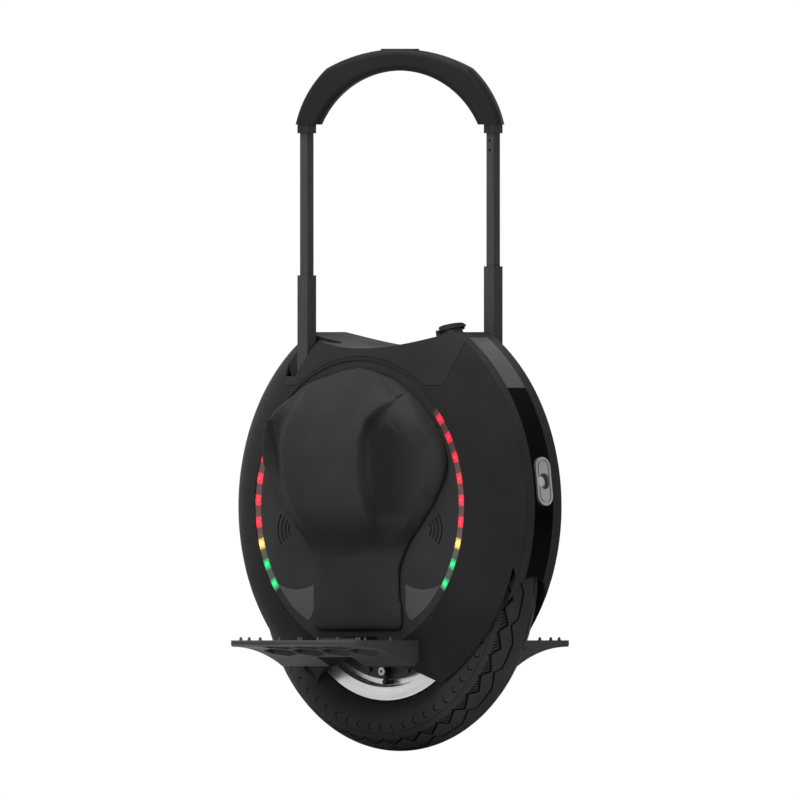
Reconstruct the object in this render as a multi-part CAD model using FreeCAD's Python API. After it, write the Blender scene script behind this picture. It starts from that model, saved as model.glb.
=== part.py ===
import FreeCAD, Part
import math
import os

# Electric unicycle: a hub-motor wheel in a round shell, with folding pedals, leg pads and a trolley handle.
# Millimetres. +X is forward, +Y is to the rider's left, +Z is up.
# The origin is on the ground under the axle. The left side is the right side turned half round about Z.

Vector = FreeCAD.Vector
ORIGIN = Vector(0, 0, 0)
X_AXIS = Vector(1, 0, 0)
Y_AXIS = Vector(0, 1, 0)
Z_AXIS = Vector(0, 0, 1)

# Clearances
SEAM = 0.4
SLIDE_CLEARANCE = 0.15
MOVING_CLEARANCE = 0.5
RUNNING_CLEARANCE = 0.05

# Wheel
TYRE_RADIUS = 182.0
TYRE_SECTION = 28.0
TYRE_HEIGHT = 58.0
TYRE_WALL = 4.0
TUBE_WALL = 1.5
FLANGE_HEIGHT = 7.0
FLANGE_THICKNESS = 4.0
RIM_HALF_WIDTH = 20.0
BEAD_WIDTH = 5.5
WELL_DEPTH = 4.5
WELL_HALF_WIDTH = 8.0
GROOVE_INSET = 6.0
GROOVE_SLOPE = 2.5
RIM_DEPTH = 16.0
DRUM_HALF_WIDTH = 12.0
ROTOR_THICKNESS = 8.0
MAGNET_THICKNESS = 4.0
MAGNET_COUNT = 24
MAGNET_FILL = 0.82
AIR_GAP = 1.0
STATOR_HALF_WIDTH = 9.0
STATOR_DEPTH = 36.0
TOOTH_COUNT = 18
TOOTH_WIDTH = 9.0
WINDING_THICKNESS = 2.2
WINDING_LENGTH = 13.0
AXLE_RADIUS = 8.5
BEARING_RADIUS = 20.0
BEARING_WIDTH = 12.0
BEARING_OFFSET = 14.0
COVER_LAP = 2.0
COVER_THICKNESS = 4.5
COVER_BOSS_RADIUS = 26.0
COVER_BOSS_LENGTH = 15.0
COVER_SCREW_COUNT = 12
COVER_SCREW_RADIUS = 1.8
COVER_SCREW_HEAD = 3.2
SCREW_HEAD_HEIGHT = 2.0
VALVE_INSET = 6.0
VALVE_STEM_RADIUS = 3.0
VALVE_END_RADIUS = 4.0
VALVE_REACH = 27.0

# Body
BODY_LIFT = 63.0
BODY_MARGIN = 19.0
BAND_HALF_WIDTH = 25.0
FLANK_MID_DEPTH = 25.0
FLANK_MID_Y = 46.0
FLANK_DEPTH = 55.0
FLANK_CROWN_Y = 58.5
WALL = 3.0
SADDLE_DROP = 43.0
SADDLE_RISE = 18.0
SADDLE_HALF_LENGTH = 105.0
SADDLE_THICKNESS = 3.0
HUB_OPENING_RADIUS = 150.0
HUB_OPENING_TOP_Z = 95.0
WHEEL_ROOM = 5.0
FRAME_PLATE_Y = 30.0
FRAME_THICKNESS = 2.5
ARCH_RADIUS = 25.0
ARCH_TOP_Z = 175.0
PANEL_MARGIN = 4.0
PANEL_LOW_DROP = 80.0
PANEL_LOW_X = 111.0
PANEL_HIGH_DROP = 54.0
PANEL_HIGH_X = 116.0

# Side cover with its ring of lights
COVER_FACE_Y = 57.5
COVER_WALL = 2.5
LEDGE_WIDTH = 10.0
GUIDE_WIDTH = 7.5
GUIDE_TOP_ANGLE = 42.5
GUIDE_BOTTOM_ANGLE = -36.0
LED_FIRST_ANGLE = 38.0
LED_LAST_ANGLE = -33.0
LED_COUNT = 9
RED_COUNT = 6
AMBER_COUNT = 1
LED_RADIUS = 3.0
LED_RISE = 0.5
SPEAKER_X_SHARE = 0.614
SPEAKER_DROP_SHARE = 0.158
SPEAKER_RADIUS = 14.0
SPEAKER_DEPTH = 9.0
SOUND_SLOT_COUNT = 4
SOUND_SLOT_FIRST = 9.0
SOUND_SLOT_PITCH = 5.0
SOUND_SLOT_WIDTH = 1.6
SOUND_SLOT_ANGLE = 38.0
INSERT_TOP_SHARE = 0.565
INSERT_LOW_SHARE = 0.826
INSERT_INNER_SHARE = 0.464
INSERT_DEPTH = 1.0
INSERT_RISE = 0.3
POST_SHARES = ((-0.343, -0.336), (0.343, -0.336), (0.0, 0.802))
POST_RADIUS = 4.5
POST_SCREW_RADIUS = 2.0
POST_SCREW_HEAD = 3.6

# Front and rear windows and lights
WINDOW_HALF_WIDTH = 13.0
WINDOW_DEPTH = 1.8
WINDOW_TOP_DROP = 32.0
WINDOW_CUT_DROP = 82.4
LIGHT_ANGLE = 7.1
LIGHT_WIDTH = 21.0
LIGHT_HEIGHT = 49.0
LIGHT_RISE = 2.0
LIGHT_DEPTH = 9.0
LIGHT_GROOVE_INSET = 2.6
LIGHT_GROOVE_WIDTH = 1.2
LIGHT_GROOVE_DEPTH = 1.0
LAMP_RECESS_RADIUS = 8.0
LAMP_RECESS_DEPTH = 7.0
LAMP_RADIUS = 5.5
LAMP_THICKNESS = 2.0
TAIL_LENS_INSET = 5.0
TAIL_LENS_DEPTH = 4.0

# Electrics inside the shell
BATTERY_HALF_LENGTH = 76.0
BATTERY_LOW_Z = 215.0
BATTERY_HIGH_Z = 350.0
BATTERY_THICKNESS = 16.0
BOARD_HALF_LENGTH = 55.0
BOARD_Z = 386.0
BOARD_THICKNESS = 2.0
SINK_HALF_LENGTH = 40.0
SINK_HALF_WIDTH = 24.0
SINK_HEIGHT = 9.0
SINK_BASE = 2.7
SINK_FIN_COUNT = 9
SINK_FIN_GAP = 3.0
CABLE_RADIUS = 3.0
CABLE_X = 82.0

# Pedals and their hangers
HANGER_HALF_WIDTH = 24.0
HANGER_THICKNESS = 12.0
FOOT_LOW_Z = 97.0
FOOT_HIGH_Z = 109.0
FOOT_SLOT_TOP_Z = 114.5
HINGE_Y = 85.0
HINGE_Z = 105.0
HINGE_PIN_RADIUS = 3.5
KNUCKLE_RADIUS = 8.5
PEDAL_HALF_LENGTH = 90.0
PEDAL_INNER_Y = 66.0
PEDAL_TIP_Y = 154.0
PEDAL_TOP_Z = 111.0
PEDAL_ROOT_THICKNESS = 26.0
PEDAL_TIP_THICKNESS = 5.0
PEDAL_LIP = 6.0
PEDAL_WAIST_Y = 106.0
PEDAL_WAIST_THICKNESS = 12.8
PEDAL_THICK_Y = 76.0
PEDAL_CORNER_RADIUS = 7.0
PEDAL_SKIN = 3.0
CELL_RADIUS = 13.5
CELL_STRETCH = 1.55
CELL_RIB = 3.0
CELL_ROW = 4
STUD_RADIUS = 1.9
STUD_TIP_RADIUS = 0.9
STUD_HEIGHT = 3.2
STUD_SHANK_RADIUS = 1.4
STUD_SHANK_LENGTH = 2.4
STUD_EDGE_MARGIN = 9.0
STUD_ROW_STEPS = 3
STUD_PAIR_GAP = 12.0
NUT_RADIUS = 13.0
NUT_HEIGHT = 4.0
HANGER_BOLT_RADIUS = 3.0
HANGER_BOLT_HEAD = 5.0
HANGER_BOLT_X = 16.0
HANGER_BOLT_Z = 145.0

# Trolley handle, set on a diagonal so that each leg passes beside the wheel
HANDLE_ANGLE = 24.5
HANDLE_HALF_SPAN = 99.0
LOWER_TUBE_SIDE = 14.2
LOWER_TUBE_WALL = 1.7
UPPER_TUBE_SIDE = 10.5
UPPER_TUBE_WALL = 1.2
TUBE_CORNER = 1.5
LOWER_TUBE_BOTTOM_Z = 278.0
FRONT_TUBE_TOP_Z = 485.0
REAR_TUBE_TOP_Z = 476.0
UPPER_TUBE_BOTTOM_Z = 430.0
COLLAR_LOW_Z = 618.0
CATCH_HOLE_RADIUS = 1.5
CATCH_HOLE_DROPS = (7.4, 16.7)
GRIP_LOW_Z = 626.7
GRIP_SOCKET_DEPTH = 10.0
GRIP_INNER_HALF = 84.0
GRIP_INNER_TOP_Z = 680.6
GRIP_OUTER_HALF = 109.5
GRIP_SHOULDER_S = 97.2
GRIP_SHOULDER_Z = 657.6
GRIP_CREST_S = 76.5
GRIP_CREST_Z = 683.0
GRIP_TOP_Z = 702.3
GRIP_HALF_WIDTH = 9.0
GRIP_ROUND = 6.0
BUTTON_LENGTH = 40.0
BUTTON_WIDTH = 9.0
BUTTON_RISE = 0.3
BUTTON_DEPTH = 6.0
BUTTON_TRAVEL = 2.5
POCKET_HALF_WIDTH = 10.0
POCKET_FLOOR_Z = 375.0
POCKET_WALL = 2.5
POCKET_TIP_S = 86.0
POCKET_SLANT = 0.735
GUIDE_BLOCK_HALF_LENGTH = 12.0
GUIDE_BLOCK_HEIGHT = 16.0
GUIDE_BLOCK_LOW_Z = 284.0
GUIDE_BLOCK_HIGH_Z = 312.0

# Charge port and power button on the saddle
PORT_X = 75.0
PORT_BORE_RADIUS = 5.5
PORT_BORE_DEPTH = 13.0
PORT_MOUTH_RADIUS = 8.0
PORT_MOUTH_DEPTH = 3.0
PORT_COLLAR_RADIUS = 10.5
PORT_COLLAR_HEIGHT = 9.0
PORT_BODY_RADIUS = 9.0
PORT_BODY_DEPTH = 12.0
CAP_RADIUS = 13.0
CAP_THICKNESS = 4.8
CAP_LIFT = 0.3
CAP_PLUG_RADIUS = 7.2
CAP_PLUG_DEPTH = 2.2
CAP_TAB_LENGTH = 4.0
CAP_HINGE_S = 15.5
CAP_HINGE_H = 11.0
CAP_KNUCKLE_RADIUS = 1.9
CAP_KNUCKLE_HALF = 3.0
CAP_PIN_RADIUS = 0.9
CAP_EAR_THICKNESS = 2.6
POWER_X = 20.0
POWER_RADIUS = 8.0
POWER_RISE = 1.0
POWER_HEIGHT = 5.0
POWER_TRAVEL = 1.5
POWER_CUP_WALL = 2.0

# Leg pad as drawn on a side cover of this radius and centre height
PAD_DRAWN_RADIUS = 146.0
PAD_DRAWN_CENTRE = 245.0
# Level by level: height, half width, rear ridge and its rise, rear bend, plateau rise, front crease,
# front ridge and its rise, depth of the hollows beside the plateau
PAD_LEVELS = (
    (120.0, 50.0, 42.0, 2.5, 30.0, 3.2, 30.0, 42.0, 2.5, -0.2),
    (128.0, 63.5, 57.0, 6.5, 40.0, 7.6, 40.0, 57.0, 6.5, -0.3),
    (144.0, 62.0, 56.0, 7.0, 40.0, 8.2, 40.0, 56.0, 7.0, -0.3),
    (172.0, 59.3, 54.0, 7.0, 38.0, 8.6, 38.0, 54.0, 7.0, -0.3),
    (190.0, 63.0, 57.0, 7.0, 41.0, 10.5, 38.0, 54.5, 7.5, 0.4),
    (211.0, 76.0, 69.0, 6.5, 48.0, 19.0, 40.0, 57.0, 8.0, 2.0),
    (231.0, 93.5, 86.0, 6.5, 54.0, 30.0, 40.5, 68.0, 9.0, 6.5),
    (251.0, 109.5, 101.0, 7.5, 61.0, 36.5, 37.5, 86.0, 11.0, 10.0),
    (271.0, 121.5, 113.5, 10.0, 66.0, 39.5, 35.0, 101.0, 14.0, 11.5),
    (289.0, 127.0, 119.0, 16.0, 68.0, 40.5, 34.8, 108.0, 18.0, 12.0),
    (304.0, 124.0, 117.0, 23.5, 68.0, 41.0, 35.5, 107.0, 23.0, 11.5),
    (320.0, 115.5, 109.0, 33.0, 67.0, 41.0, 38.0, 94.0, 31.0, 9.0),
    (335.0, 104.5, 98.5, 36.0, 63.0, 39.5, 44.0, 79.0, 33.5, 4.5),
    (351.0, 87.0, 79.5, 27.0, 56.0, 33.5, 50.0, 69.0, 26.5, 0.8),
    (363.0, 70.5, 62.5, 19.5, 44.0, 26.0, 40.0, 55.0, 19.0, -0.5),
    (374.0, 47.5, 40.0, 12.5, 26.0, 16.0, 24.0, 36.0, 11.0, -0.4),
    (381.0, 24.0, 18.0, 6.0, 11.0, 8.0, 11.0, 17.0, 5.5, -0.3),
    (384.0, 9.0, 6.5, 2.4, 4.0, 3.0, 4.0, 6.5, 2.4, -0.1),
)
PAD_CROWN = 0.8
PAD_UNDERCUT = 3.0
PAD_WALL_SHARE = 0.6
PAD_BULGE = 0.14

# Sizes that follow from the ones above
AXLE_Z = TYRE_RADIUS
BODY_CENTRE_Z = TYRE_RADIUS + BODY_LIFT
BODY_RADIUS = TYRE_RADIUS + BODY_MARGIN
BODY_TOP_Z = BODY_CENTRE_Z + BODY_RADIUS
FLANK_MID_RADIUS = BODY_RADIUS - FLANK_MID_DEPTH
FLANK_INNER_RADIUS = BODY_RADIUS - FLANK_DEPTH
PANEL_RADIUS = FLANK_INNER_RADIUS + PANEL_MARGIN
PANEL_LOW_Z = BODY_TOP_Z - PANEL_LOW_DROP
PANEL_HIGH_Z = BODY_TOP_Z - PANEL_HIGH_DROP
SADDLE_LOW_Z = BODY_TOP_Z - SADDLE_DROP
WINDOW_TOP_Z = BODY_TOP_Z - WINDOW_TOP_DROP
WINDOW_CUT_Z = BODY_TOP_Z - WINDOW_CUT_DROP
SECTION_CENTRE = TYRE_RADIUS - TYRE_SECTION
SEAT_RADIUS = TYRE_RADIUS - TYRE_HEIGHT
FLANGE_RADIUS = SEAT_RADIUS + FLANGE_HEIGHT
WELL_RADIUS = SEAT_RADIUS - WELL_DEPTH
GROOVE_OUTER_RADIUS = SEAT_RADIUS - GROOVE_INSET
GROOVE_FLOOR_RADIUS = GROOVE_OUTER_RADIUS - GROOVE_SLOPE
RIM_BORE_RADIUS = SEAT_RADIUS - RIM_DEPTH
STATOR_YOKE_RADIUS = RIM_BORE_RADIUS - STATOR_DEPTH
COVER_RADIUS = RIM_BORE_RADIUS + COVER_LAP
VALVE_CIRCLE_RADIUS = RIM_BORE_RADIUS - VALVE_INSET
BEAD_FACE_Y = RIM_HALF_WIDTH - FLANGE_THICKNESS
ROTOR_INNER = RIM_BORE_RADIUS - ROTOR_THICKNESS
MAGNET_INNER = ROTOR_INNER - MAGNET_THICKNESS
STATOR_RADIUS = MAGNET_INNER - AIR_GAP
FRAME_FACE_Y = FRAME_PLATE_Y + FRAME_THICKNESS
COVER_BACK_Y = COVER_FACE_Y - COVER_WALL
HANGER_FACE_Y = FRAME_FACE_Y + HANGER_THICKNESS
GUIDE_OUTER = FLANK_INNER_RADIUS - SEAM
GUIDE_INNER = GUIDE_OUTER - GUIDE_WIDTH
LED_CIRCLE = (GUIDE_OUTER + GUIDE_INNER) / 2
SPEAKER_X = GUIDE_OUTER * SPEAKER_X_SHARE
SPEAKER_Z = BODY_CENTRE_Z - GUIDE_OUTER * SPEAKER_DROP_SHARE
INSERT_TOP_Z = BODY_CENTRE_Z - GUIDE_INNER * INSERT_TOP_SHARE
INSERT_LOW_Z = BODY_CENTRE_Z - GUIDE_INNER * INSERT_LOW_SHARE
INSERT_INNER_X = GUIDE_INNER * INSERT_INNER_SHARE
COVER_POSTS = [(GUIDE_OUTER * x, BODY_CENTRE_Z + GUIDE_OUTER * z) for x, z in POST_SHARES]
ROD_X = HANDLE_HALF_SPAN * math.cos(math.radians(HANDLE_ANGLE))
ROD_Y = HANDLE_HALF_SPAN * math.sin(math.radians(HANDLE_ANGLE))


def box(x0, x1, y0, y1, z0, z1):
    return Part.makeBox(x1 - x0, y1 - y0, z1 - z0, Vector(x0, y0, z0))


def cylinder_y(radius, y0, y1, x, z):
    return Part.makeCylinder(radius, y1 - y0, Vector(x, y0, z), Y_AXIS)


def cylinder_x(radius, x0, x1, y, z):
    return Part.makeCylinder(radius, x1 - x0, Vector(x0, y, z), X_AXIS)


def join(shapes):
    return shapes[0].multiFuse(shapes[1:]).removeSplitter()


def group(shapes):
    return Part.makeCompound(shapes)


def half_turn(shape):
    """The same piece on the other side of the object."""
    turned_shape = shape.copy()
    turned_shape.rotate(ORIGIN, Z_AXIS, 180)
    return turned_shape


def polar(radius, degrees):
    angle = math.radians(degrees)
    return radius * math.cos(angle), radius * math.sin(angle)


def outline_face(start, steps, place):
    """Face inside an outline. A step is an end point, or the mid point and end point of an arc."""
    edges = []
    here = start
    for step in [*steps, start]:
        is_arc = isinstance(step[0], tuple)
        end = step[1] if is_arc else step
        if is_arc:
            edges.append(Part.Arc(place(here), place(step[0]), place(end)).toShape())
        elif end != here:
            edges.append(Part.LineSegment(place(here), place(end)).toShape())
        here = end
    return Part.Face(Part.Wire(edges))


def turned(start, steps, centre_z):
    """Solid turned about the Y line at this height, from an outline of (radius, y) points."""
    face = outline_face(start, steps, lambda point: Vector(point[0], point[1], centre_z))
    return face.revolve(Vector(0, 0, centre_z), Y_AXIS, 360)


def side_prism(start, steps, y0, y1):
    """Prism along Y, from an outline of (x, z) points."""
    face = outline_face(start, steps, lambda point: Vector(point[0], y0, point[1]))
    return face.extrude(Vector(0, y1 - y0, 0))


def ring(inner, outer, y0, y1, centre_z):
    return cylinder_y(outer, y0, y1, 0, centre_z).cut(cylinder_y(inner, y0, y1, 0, centre_z))


def square_bar(side, z0, z1, corner):
    half = side / 2
    bar = box(-half, half, -half, half, z0, z1)
    uprights = [edge for edge in bar.Edges if abs(edge.tangentAt(edge.FirstParameter).z) > 0.9]
    return bar.makeFillet(corner, uprights)


def square_tube(side, wall, z0, z1):
    bore = square_bar(side - 2 * wall, z0, z1, TUBE_CORNER / 2)
    return square_bar(side, z0, z1, TUBE_CORNER).cut(bore)


def at_rear_rod(shape):
    return shape.translated(Vector(-ROD_X, -ROD_Y, 0))


def at_front_rod(shape):
    return shape.translated(Vector(ROD_X, ROD_Y, 0))


# Wheel pieces, turned about the axle

def tyre():
    bead_y = BEAD_FACE_Y
    guard = FLANGE_RADIUS + MOVING_CLEARANCE
    foot_rise = SECTION_CENTRE - guard - 1.5
    outer_y = math.sqrt(TYRE_SECTION ** 2 - foot_rise ** 2)
    inner_section = TYRE_SECTION - TYRE_WALL
    inner_y = math.sqrt(inner_section ** 2 - foot_rise ** 2)
    foot = SECTION_CENTRE - foot_rise
    lip_y = bead_y - BEAD_WIDTH
    return turned(
        (foot, -outer_y),
        [
            ((TYRE_RADIUS, 0.0), (foot, outer_y)),
            (guard, bead_y),
            (SEAT_RADIUS, bead_y),
            (SEAT_RADIUS, lip_y),
            (foot, inner_y),
            ((TYRE_RADIUS - TYRE_WALL, 0.0), (foot, -inner_y)),
            (SEAT_RADIUS, -lip_y),
            (SEAT_RADIUS, -bead_y),
            (guard, -bead_y),
        ],
        AXLE_Z,
    )


def inner_tube():
    outer = TYRE_SECTION - TYRE_WALL - SEAM / 4
    place = Vector(0, 0, AXLE_Z)
    skin = Part.makeTorus(SECTION_CENTRE, outer, place, Y_AXIS)
    return skin.cut(Part.makeTorus(SECTION_CENTRE, outer - TUBE_WALL, place, Y_AXIS))


def rim():
    lip_y = BEAD_FACE_Y - BEAD_WIDTH
    half = [
        (FLANGE_RADIUS, RIM_HALF_WIDTH),
        (GROOVE_OUTER_RADIUS, RIM_HALF_WIDTH),
        (GROOVE_FLOOR_RADIUS, DRUM_HALF_WIDTH),
        (RIM_BORE_RADIUS, DRUM_HALF_WIDTH),
    ]
    outer = [
        (WELL_RADIUS, WELL_HALF_WIDTH),
        (SEAT_RADIUS, lip_y),
        (SEAT_RADIUS, BEAD_FACE_Y),
        (FLANGE_RADIUS, BEAD_FACE_Y),
    ]
    left = outer + half
    right = [(radius, -y) for radius, y in reversed(left)]
    points = left + right
    return turned(points[0], points[1:], AXLE_Z)


def rotor_ring():
    whole = ring(ROTOR_INNER, RIM_BORE_RADIUS, -DRUM_HALF_WIDTH, DRUM_HALF_WIDTH, AXLE_Z)
    return whole.cut(group(cover_screw_bars(COVER_SCREW_RADIUS)))


def rotor_magnets():
    pitch = 360 / MAGNET_COUNT
    half = math.radians(pitch * MAGNET_FILL / 2)
    whole = ring(MAGNET_INNER, ROTOR_INNER, -STATOR_HALF_WIDTH, STATOR_HALF_WIDTH, AXLE_Z)
    reach = RIM_BORE_RADIUS
    wedge = side_prism(
        (0.0, AXLE_Z),
        [(reach, AXLE_Z - reach * math.tan(half)), (reach, AXLE_Z + reach * math.tan(half))],
        -STATOR_HALF_WIDTH,
        STATOR_HALF_WIDTH,
    )
    magnet = whole.common(wedge)
    magnets = []
    for index in range(MAGNET_COUNT):
        copy = magnet.copy()
        copy.rotate(Vector(0, 0, AXLE_Z), Y_AXIS, index * pitch)
        magnets.append(copy)
    return group(magnets)


def cover_screw_bars(radius):
    """Shanks of the motor cover screws on both sides, with this radius."""
    bars = []
    face_y = DRUM_HALF_WIDTH + COVER_THICKNESS
    circle = (ROTOR_INNER + RIM_BORE_RADIUS) / 2
    for index in range(COVER_SCREW_COUNT):
        x, z = polar(circle, (index + 0.5) * 360 / COVER_SCREW_COUNT)
        for y0, y1 in ((-face_y, -STATOR_HALF_WIDTH + 3), (STATOR_HALF_WIDTH - 3, face_y)):
            bars.append(cylinder_y(radius, y0, y1, x, AXLE_Z + z))
    return bars


def motor_cover_screws():
    screws = []
    face_y = DRUM_HALF_WIDTH + COVER_THICKNESS
    for bar in cover_screw_bars(COVER_SCREW_RADIUS):
        centre = bar.BoundBox.Center
        y0 = face_y if centre.y > 0 else -face_y - SCREW_HEAD_HEIGHT
        head = cylinder_y(COVER_SCREW_HEAD, y0, y0 + SCREW_HEAD_HEIGHT, centre.x, centre.z)
        screws.append(join([bar, head]))
    return group(screws)


def motor_covers():
    face_y = DRUM_HALF_WIDTH + COVER_THICKNESS
    boss_y = DRUM_HALF_WIDTH + COVER_BOSS_LENGTH
    slope = COVER_THICKNESS
    left = turned(
        (BEARING_RADIUS, DRUM_HALF_WIDTH),
        [
            (COVER_RADIUS, DRUM_HALF_WIDTH),
            (COVER_RADIUS, face_y),
            (COVER_BOSS_RADIUS + slope, face_y),
            (COVER_BOSS_RADIUS, face_y + slope),
            (COVER_BOSS_RADIUS, boss_y),
            (BEARING_RADIUS, boss_y),
        ],
        AXLE_Z,
    )
    left = left.cut(group(cover_screw_bars(COVER_SCREW_RADIUS)))
    return group([half_turn(left), left])


def wheel_bearings():
    inner = AXLE_RADIUS + RUNNING_CLEARANCE
    left = ring(inner, BEARING_RADIUS, BEARING_OFFSET, BEARING_OFFSET + BEARING_WIDTH, AXLE_Z)
    return group([half_turn(left), left])


def valve_stem():
    """Bent stem at the foot of the wheel: out of the rim's groove, across the cover and out again."""
    root_radius = (GROOVE_FLOOR_RADIUS - COVER_RADIUS) / 2 - SEAM / 2
    groove_z = AXLE_Z - (GROOVE_FLOOR_RADIUS + COVER_RADIUS) / 2
    end_z = AXLE_Z - VALVE_CIRCLE_RADIUS
    bend_y = -DRUM_HALF_WIDTH - COVER_THICKNESS - VALVE_STEM_RADIUS - SEAM
    root = cylinder_y(root_radius, bend_y - VALVE_STEM_RADIUS, -DRUM_HALF_WIDTH, 0, groove_z)
    run = Part.makeCylinder(VALVE_STEM_RADIUS * 0.9, end_z - groove_z, Vector(0, bend_y, groove_z), Z_AXIS)
    tip = cylinder_y(VALVE_END_RADIUS, -VALVE_REACH, bend_y + VALVE_STEM_RADIUS, 0, end_z)
    return join([root, run, tip])


# Fixed middle of the motor

def axle():
    reach = HANGER_FACE_Y + NUT_HEIGHT
    return cylinder_y(AXLE_RADIUS, -reach, reach, 0, AXLE_Z)


def teeth(width, inner, outer, half_width):
    bars = []
    for index in range(TOOTH_COUNT):
        bar = box(inner, outer, -half_width, half_width, -width / 2, width / 2)
        bar.rotate(ORIGIN, Y_AXIS, index * 360 / TOOTH_COUNT)
        bars.append(bar.translated(Vector(0, 0, AXLE_Z)))
    return bars


def stator_core():
    yoke = ring(AXLE_RADIUS, STATOR_YOKE_RADIUS, -STATOR_HALF_WIDTH, STATOR_HALF_WIDTH, AXLE_Z)
    core = join([yoke, *teeth(TOOTH_WIDTH, STATOR_YOKE_RADIUS - 2, STATOR_RADIUS, STATOR_HALF_WIDTH)])
    windows = []
    window_circle = (AXLE_RADIUS + STATOR_YOKE_RADIUS) / 2
    for index in range(6):
        x, z = polar(window_circle, index * 60)
        windows.append(cylinder_y(window_circle / 4, -STATOR_HALF_WIDTH, STATOR_HALF_WIDTH, x, AXLE_Z + z))
    return core.cut(group(windows))


def stator_windings():
    inner = STATOR_YOKE_RADIUS + 3
    outer = inner + WINDING_LENGTH
    half_width = STATOR_HALF_WIDTH + WINDING_THICKNESS
    coils = teeth(TOOTH_WIDTH + 2 * WINDING_THICKNESS, inner, outer, half_width)
    cores = teeth(TOOTH_WIDTH, inner - 1, outer + 1, STATOR_HALF_WIDTH)
    return group([coil.cut(core) for coil, core in zip(coils, cores)])


def motor_cable():
    """Lead from the axle's left end up the frame plate to the control board."""
    lane_y = FRAME_FACE_Y + CABLE_RADIUS
    start = Vector(-HANGER_HALF_WIDTH, lane_y, AXLE_Z)
    points = [
        start,
        Vector(-CABLE_X, lane_y, AXLE_Z),
        Vector(-CABLE_X, lane_y, BATTERY_HIGH_Z + 6),
        Vector(-BOARD_HALF_LENGTH, lane_y, BOARD_Z - BOARD_THICKNESS),
    ]
    pieces = []
    for here, there in zip(points, points[1:]):
        run = there - here
        pieces.append(Part.makeCylinder(CABLE_RADIUS, run.Length, here, run))
        pieces.append(Part.makeSphere(CABLE_RADIUS, there))
    return join(pieces)


# Shell

def dome(inset):
    """The body's full round form, made smaller all over by this inset."""
    edge_r = BODY_RADIUS - inset
    middle = (FLANK_MID_RADIUS - 0.6 * inset, FLANK_MID_Y - 0.8 * inset)
    crown_y = FLANK_CROWN_Y - inset
    return turned(
        (0.0, crown_y),
        [
            (FLANK_INNER_RADIUS, crown_y),
            (middle, (edge_r, BAND_HALF_WIDTH)),
            (edge_r, -BAND_HALF_WIDTH),
            ((middle[0], -middle[1]), (FLANK_INNER_RADIUS, -crown_y)),
            (0.0, -crown_y),
        ],
        BODY_CENTRE_Z,
    )


def above_saddle(depth):
    """Everything above the saddle's hollow, lowered by this depth."""
    end_z = SADDLE_LOW_Z + SADDLE_RISE - depth
    low = (0.0, SADDLE_LOW_Z - depth)
    reach = BODY_RADIUS
    half = SADDLE_HALF_LENGTH
    width = 2 * FLANK_CROWN_Y
    flare_z = end_z + half / 2
    sky_z = BODY_TOP_Z + half
    return side_prism(
        (-half, end_z),
        [(low, (half, end_z)), (reach, flare_z), (reach, sky_z), (-reach, sky_z), (-reach, flare_z)],
        -width,
        width,
    )


def hub_opening(margin):
    """Round arch that opens the flanks round the foot of the wheel."""
    centre_z = HUB_OPENING_TOP_Z - HUB_OPENING_RADIUS
    reach = 2 * FLANK_CROWN_Y
    return cylinder_y(HUB_OPENING_RADIUS + margin, -reach, reach, 0, centre_z)


def wheel_space():
    return cylinder_y(TYRE_RADIUS + WHEEL_ROOM, -FRAME_PLATE_Y, FRAME_PLATE_Y, 0, AXLE_Z)


def panel_region(margin):
    """Side view of the top cover, made larger by this margin."""
    low_z = PANEL_LOW_Z - margin
    reach = 2 * FLANK_CROWN_Y
    top_z = BODY_TOP_Z
    low_x = PANEL_LOW_X + margin
    high_x = PANEL_HIGH_X + margin
    prism = side_prism(
        (-low_x, low_z),
        [(low_x, low_z), (high_x, PANEL_HIGH_Z), (high_x, top_z), (-high_x, top_z), (-high_x, PANEL_HIGH_Z)],
        -reach,
        reach,
    )
    return prism.cut(cylinder_y(PANEL_RADIUS - margin, -reach, reach, 0, BODY_CENTRE_Z))


def foot_slot():
    """Way out for the hanger's foot at the bottom of the right flank."""
    half = HANGER_HALF_WIDTH + MOVING_CLEARANCE
    return box(-half, half, -FLANK_CROWN_Y, -FRAME_PLATE_Y, 0, FOOT_SLOT_TOP_Z)


def rod_passage():
    half = LOWER_TUBE_SIDE / 2 + MOVING_CLEARANCE
    return at_rear_rod(box(-half, half, -half, half, 0, BODY_TOP_Z))


def skin(depth):
    return dome(0).cut(dome(depth))


def shell_right():
    reach = BODY_RADIUS
    side = box(-reach, reach, -FLANK_CROWN_Y, -BAND_HALF_WIDTH - SEAM / 2, 0, BODY_TOP_Z)
    flank = skin(WALL).common(side).cut(cylinder_y(FLANK_INNER_RADIUS, -reach, reach, 0, BODY_CENTRE_Z))
    ledge = ring(
        FLANK_INNER_RADIUS - LEDGE_WIDTH,
        FLANK_INNER_RADIUS + WALL,
        -COVER_BACK_Y,
        -COVER_BACK_Y + WALL,
        BODY_CENTRE_Z,
    )
    wall = ring(FLANK_INNER_RADIUS, FLANK_INNER_RADIUS + WALL, -FLANK_CROWN_Y, -COVER_BACK_Y, BODY_CENTRE_Z)
    whole = join([flank, ledge, wall.common(dome(0))])
    for cut in (above_saddle(0), hub_opening(0), wheel_space(), foot_slot(), rod_passage()):
        whole = whole.cut(cut)
    whole = whole.cut(panel_region(SEAM / 2))
    return whole


def pocket(grow, floor_z):
    """Slanted slot that takes a leg of the lowered grip, on the rear leg's line."""
    half = POCKET_HALF_WIDTH + grow
    tip = -POCKET_TIP_S + grow
    rise = BODY_TOP_Z - floor_z
    far = -2 * BODY_RADIUS
    lean = POCKET_SLANT * (floor_z - POCKET_FLOOR_Z)
    start = (far, -half)
    steps = [
        (tip - half + lean, -half),
        ((tip + lean, 0.0), (tip - half + lean, half)),
        (far, half),
    ]
    face = outline_face(start, steps, lambda point: Vector(point[0], point[1], floor_z))
    slot = face.extrude(Vector(POCKET_SLANT * rise, 0, rise))
    slot.rotate(ORIGIN, Z_AXIS, HANDLE_ANGLE)
    return slot


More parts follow.
